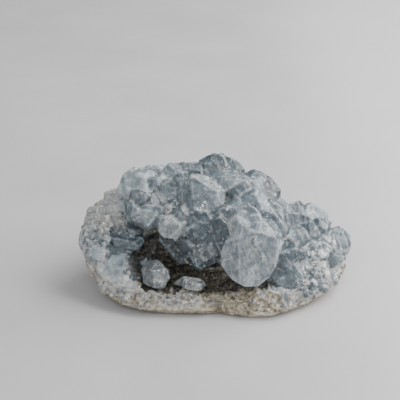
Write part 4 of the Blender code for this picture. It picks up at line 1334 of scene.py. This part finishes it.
def lone_crystal(name, row):
    crystal = Crystal(name, row, dice)
    crystal.mesh.free()
    pale, milk, cream = crystal.look
    whole = add_piece(name + "_look", shape_of(name))
    remesh(whole, LONE_VOXEL)
    points = points_of(whole)[0].astype(np.float64)
    away, out, _, _ = crystal.measure(points)
    free = np.abs(away) < LONE_NEAR_A_FACE
    points[free] -= out[free] * away[free, None]
    away, out, edge, face = crystal.measure(points)
    points[free] -= out[free] * (LONE_WAVE * (1 + lumps(points, 1.8, 19)[free]))[:, None]
    set_points(whole, points)
    add_measures(
        whole,
        pale=pale + 0.06 * np.sin(7.0 * face),
        milk=milk,
        edge=np.where(free, np.exp(-edge / LONE_EDGE_WEAR_AND_HIGHLIGHT), 0),
        joint=np.where(free, 0.0, 0.7),
        cream=cream,
    )
    to_metres(whole, name + "_look")
    wear(whole, lone_finish)
    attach(whole, "root")
    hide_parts(name)


lone_finish = celestite("clear_celestite", -0.1)
for name, row in HOLLOW_CRYSTALS.items():
    lone_crystal(name, row)

# The studio: a pale table, painted paler to the right as a pool of light, under soft light from the
# upper right, and the camera at the photograph's height and angle.

FLOOR_SIZE = 6.0
LIT_PLACE = Vector((0, 0, 0.02))
bm = bmesh.new()
bmesh.ops.create_grid(bm, x_segments=1, y_segments=1, size=FLOOR_SIZE / 2)
floor = add_piece("floor", bm)
finish = Finish("pale_table")
soft = finish.noise(60.0, 3)
tint = finish.ramp(soft, [(0.3, (0.49, 0.475, 0.48)), (0.7, (0.56, 0.545, 0.55))])
# Painted light: the table is paler to the right, where the side window shines.
across = Shade(finish.add("ShaderNodeSeparateXYZ", {}, {"Vector": finish.place}).outputs["X"])
tint = finish.mix(finish.step(across, 0.015, 0.09) * 0.6, tint, (0.74, 0.725, 0.73))
wear(floor, finish.end(finish.surface(Base_Color=tint, Roughness=0.9)))


def soft_light(name, place, size, power, colour):
    lamp = bpy.data.lights.new(name, "AREA")
    lamp.shape = "SQUARE"
    lamp.size = size
    lamp.energy = power
    lamp.color = colour
    obj = add_object(name, lamp)
    obj.location = place
    toward = LIT_PLACE - Vector(place)
    obj.rotation_euler = toward.to_track_quat("-Z", "Y").to_euler()


soft_light("window", (0.42, 0.26, 0.50), 0.7, 7.8, (1.0, 0.985, 0.975))
soft_light("side_window", (0.40, -0.12, 0.24), 0.3, 1.5, (1.0, 0.99, 0.98))
soft_light("front_fill", (-0.16, -0.70, 0.5), 0.7, 3.2, (0.98, 0.99, 1.0))
world = bpy.data.worlds.new("soft_room")
world.use_nodes = True
sky = world.node_tree.nodes["Background"]
sky.inputs["Color"].default_value = (0.93, 0.96, 1.0, 1.0)
sky.inputs["Strength"].default_value = 0.5
bpy.context.scene.world = world

CAMERA_TARGET = Vector((-6.16e-3, -0.62e-3, 31.25e-3))
CAMERA_DISTANCE = 0.3983
CAMERA_ELEVATION = math.radians(25.0)
lens = bpy.data.cameras.new("camera")
lens.lens = 100.0
lens.sensor_width = 36.0
lens.clip_start = 0.01
lens.clip_end = 20.0
camera = add_object("camera", lens)
view = Vector((0, math.cos(CAMERA_ELEVATION), -math.sin(CAMERA_ELEVATION)))
camera.location = CAMERA_TARGET - view * CAMERA_DISTANCE
camera.rotation_euler = view.to_track_quat("-Z", "Y").to_euler()
bpy.context.scene.camera = camera
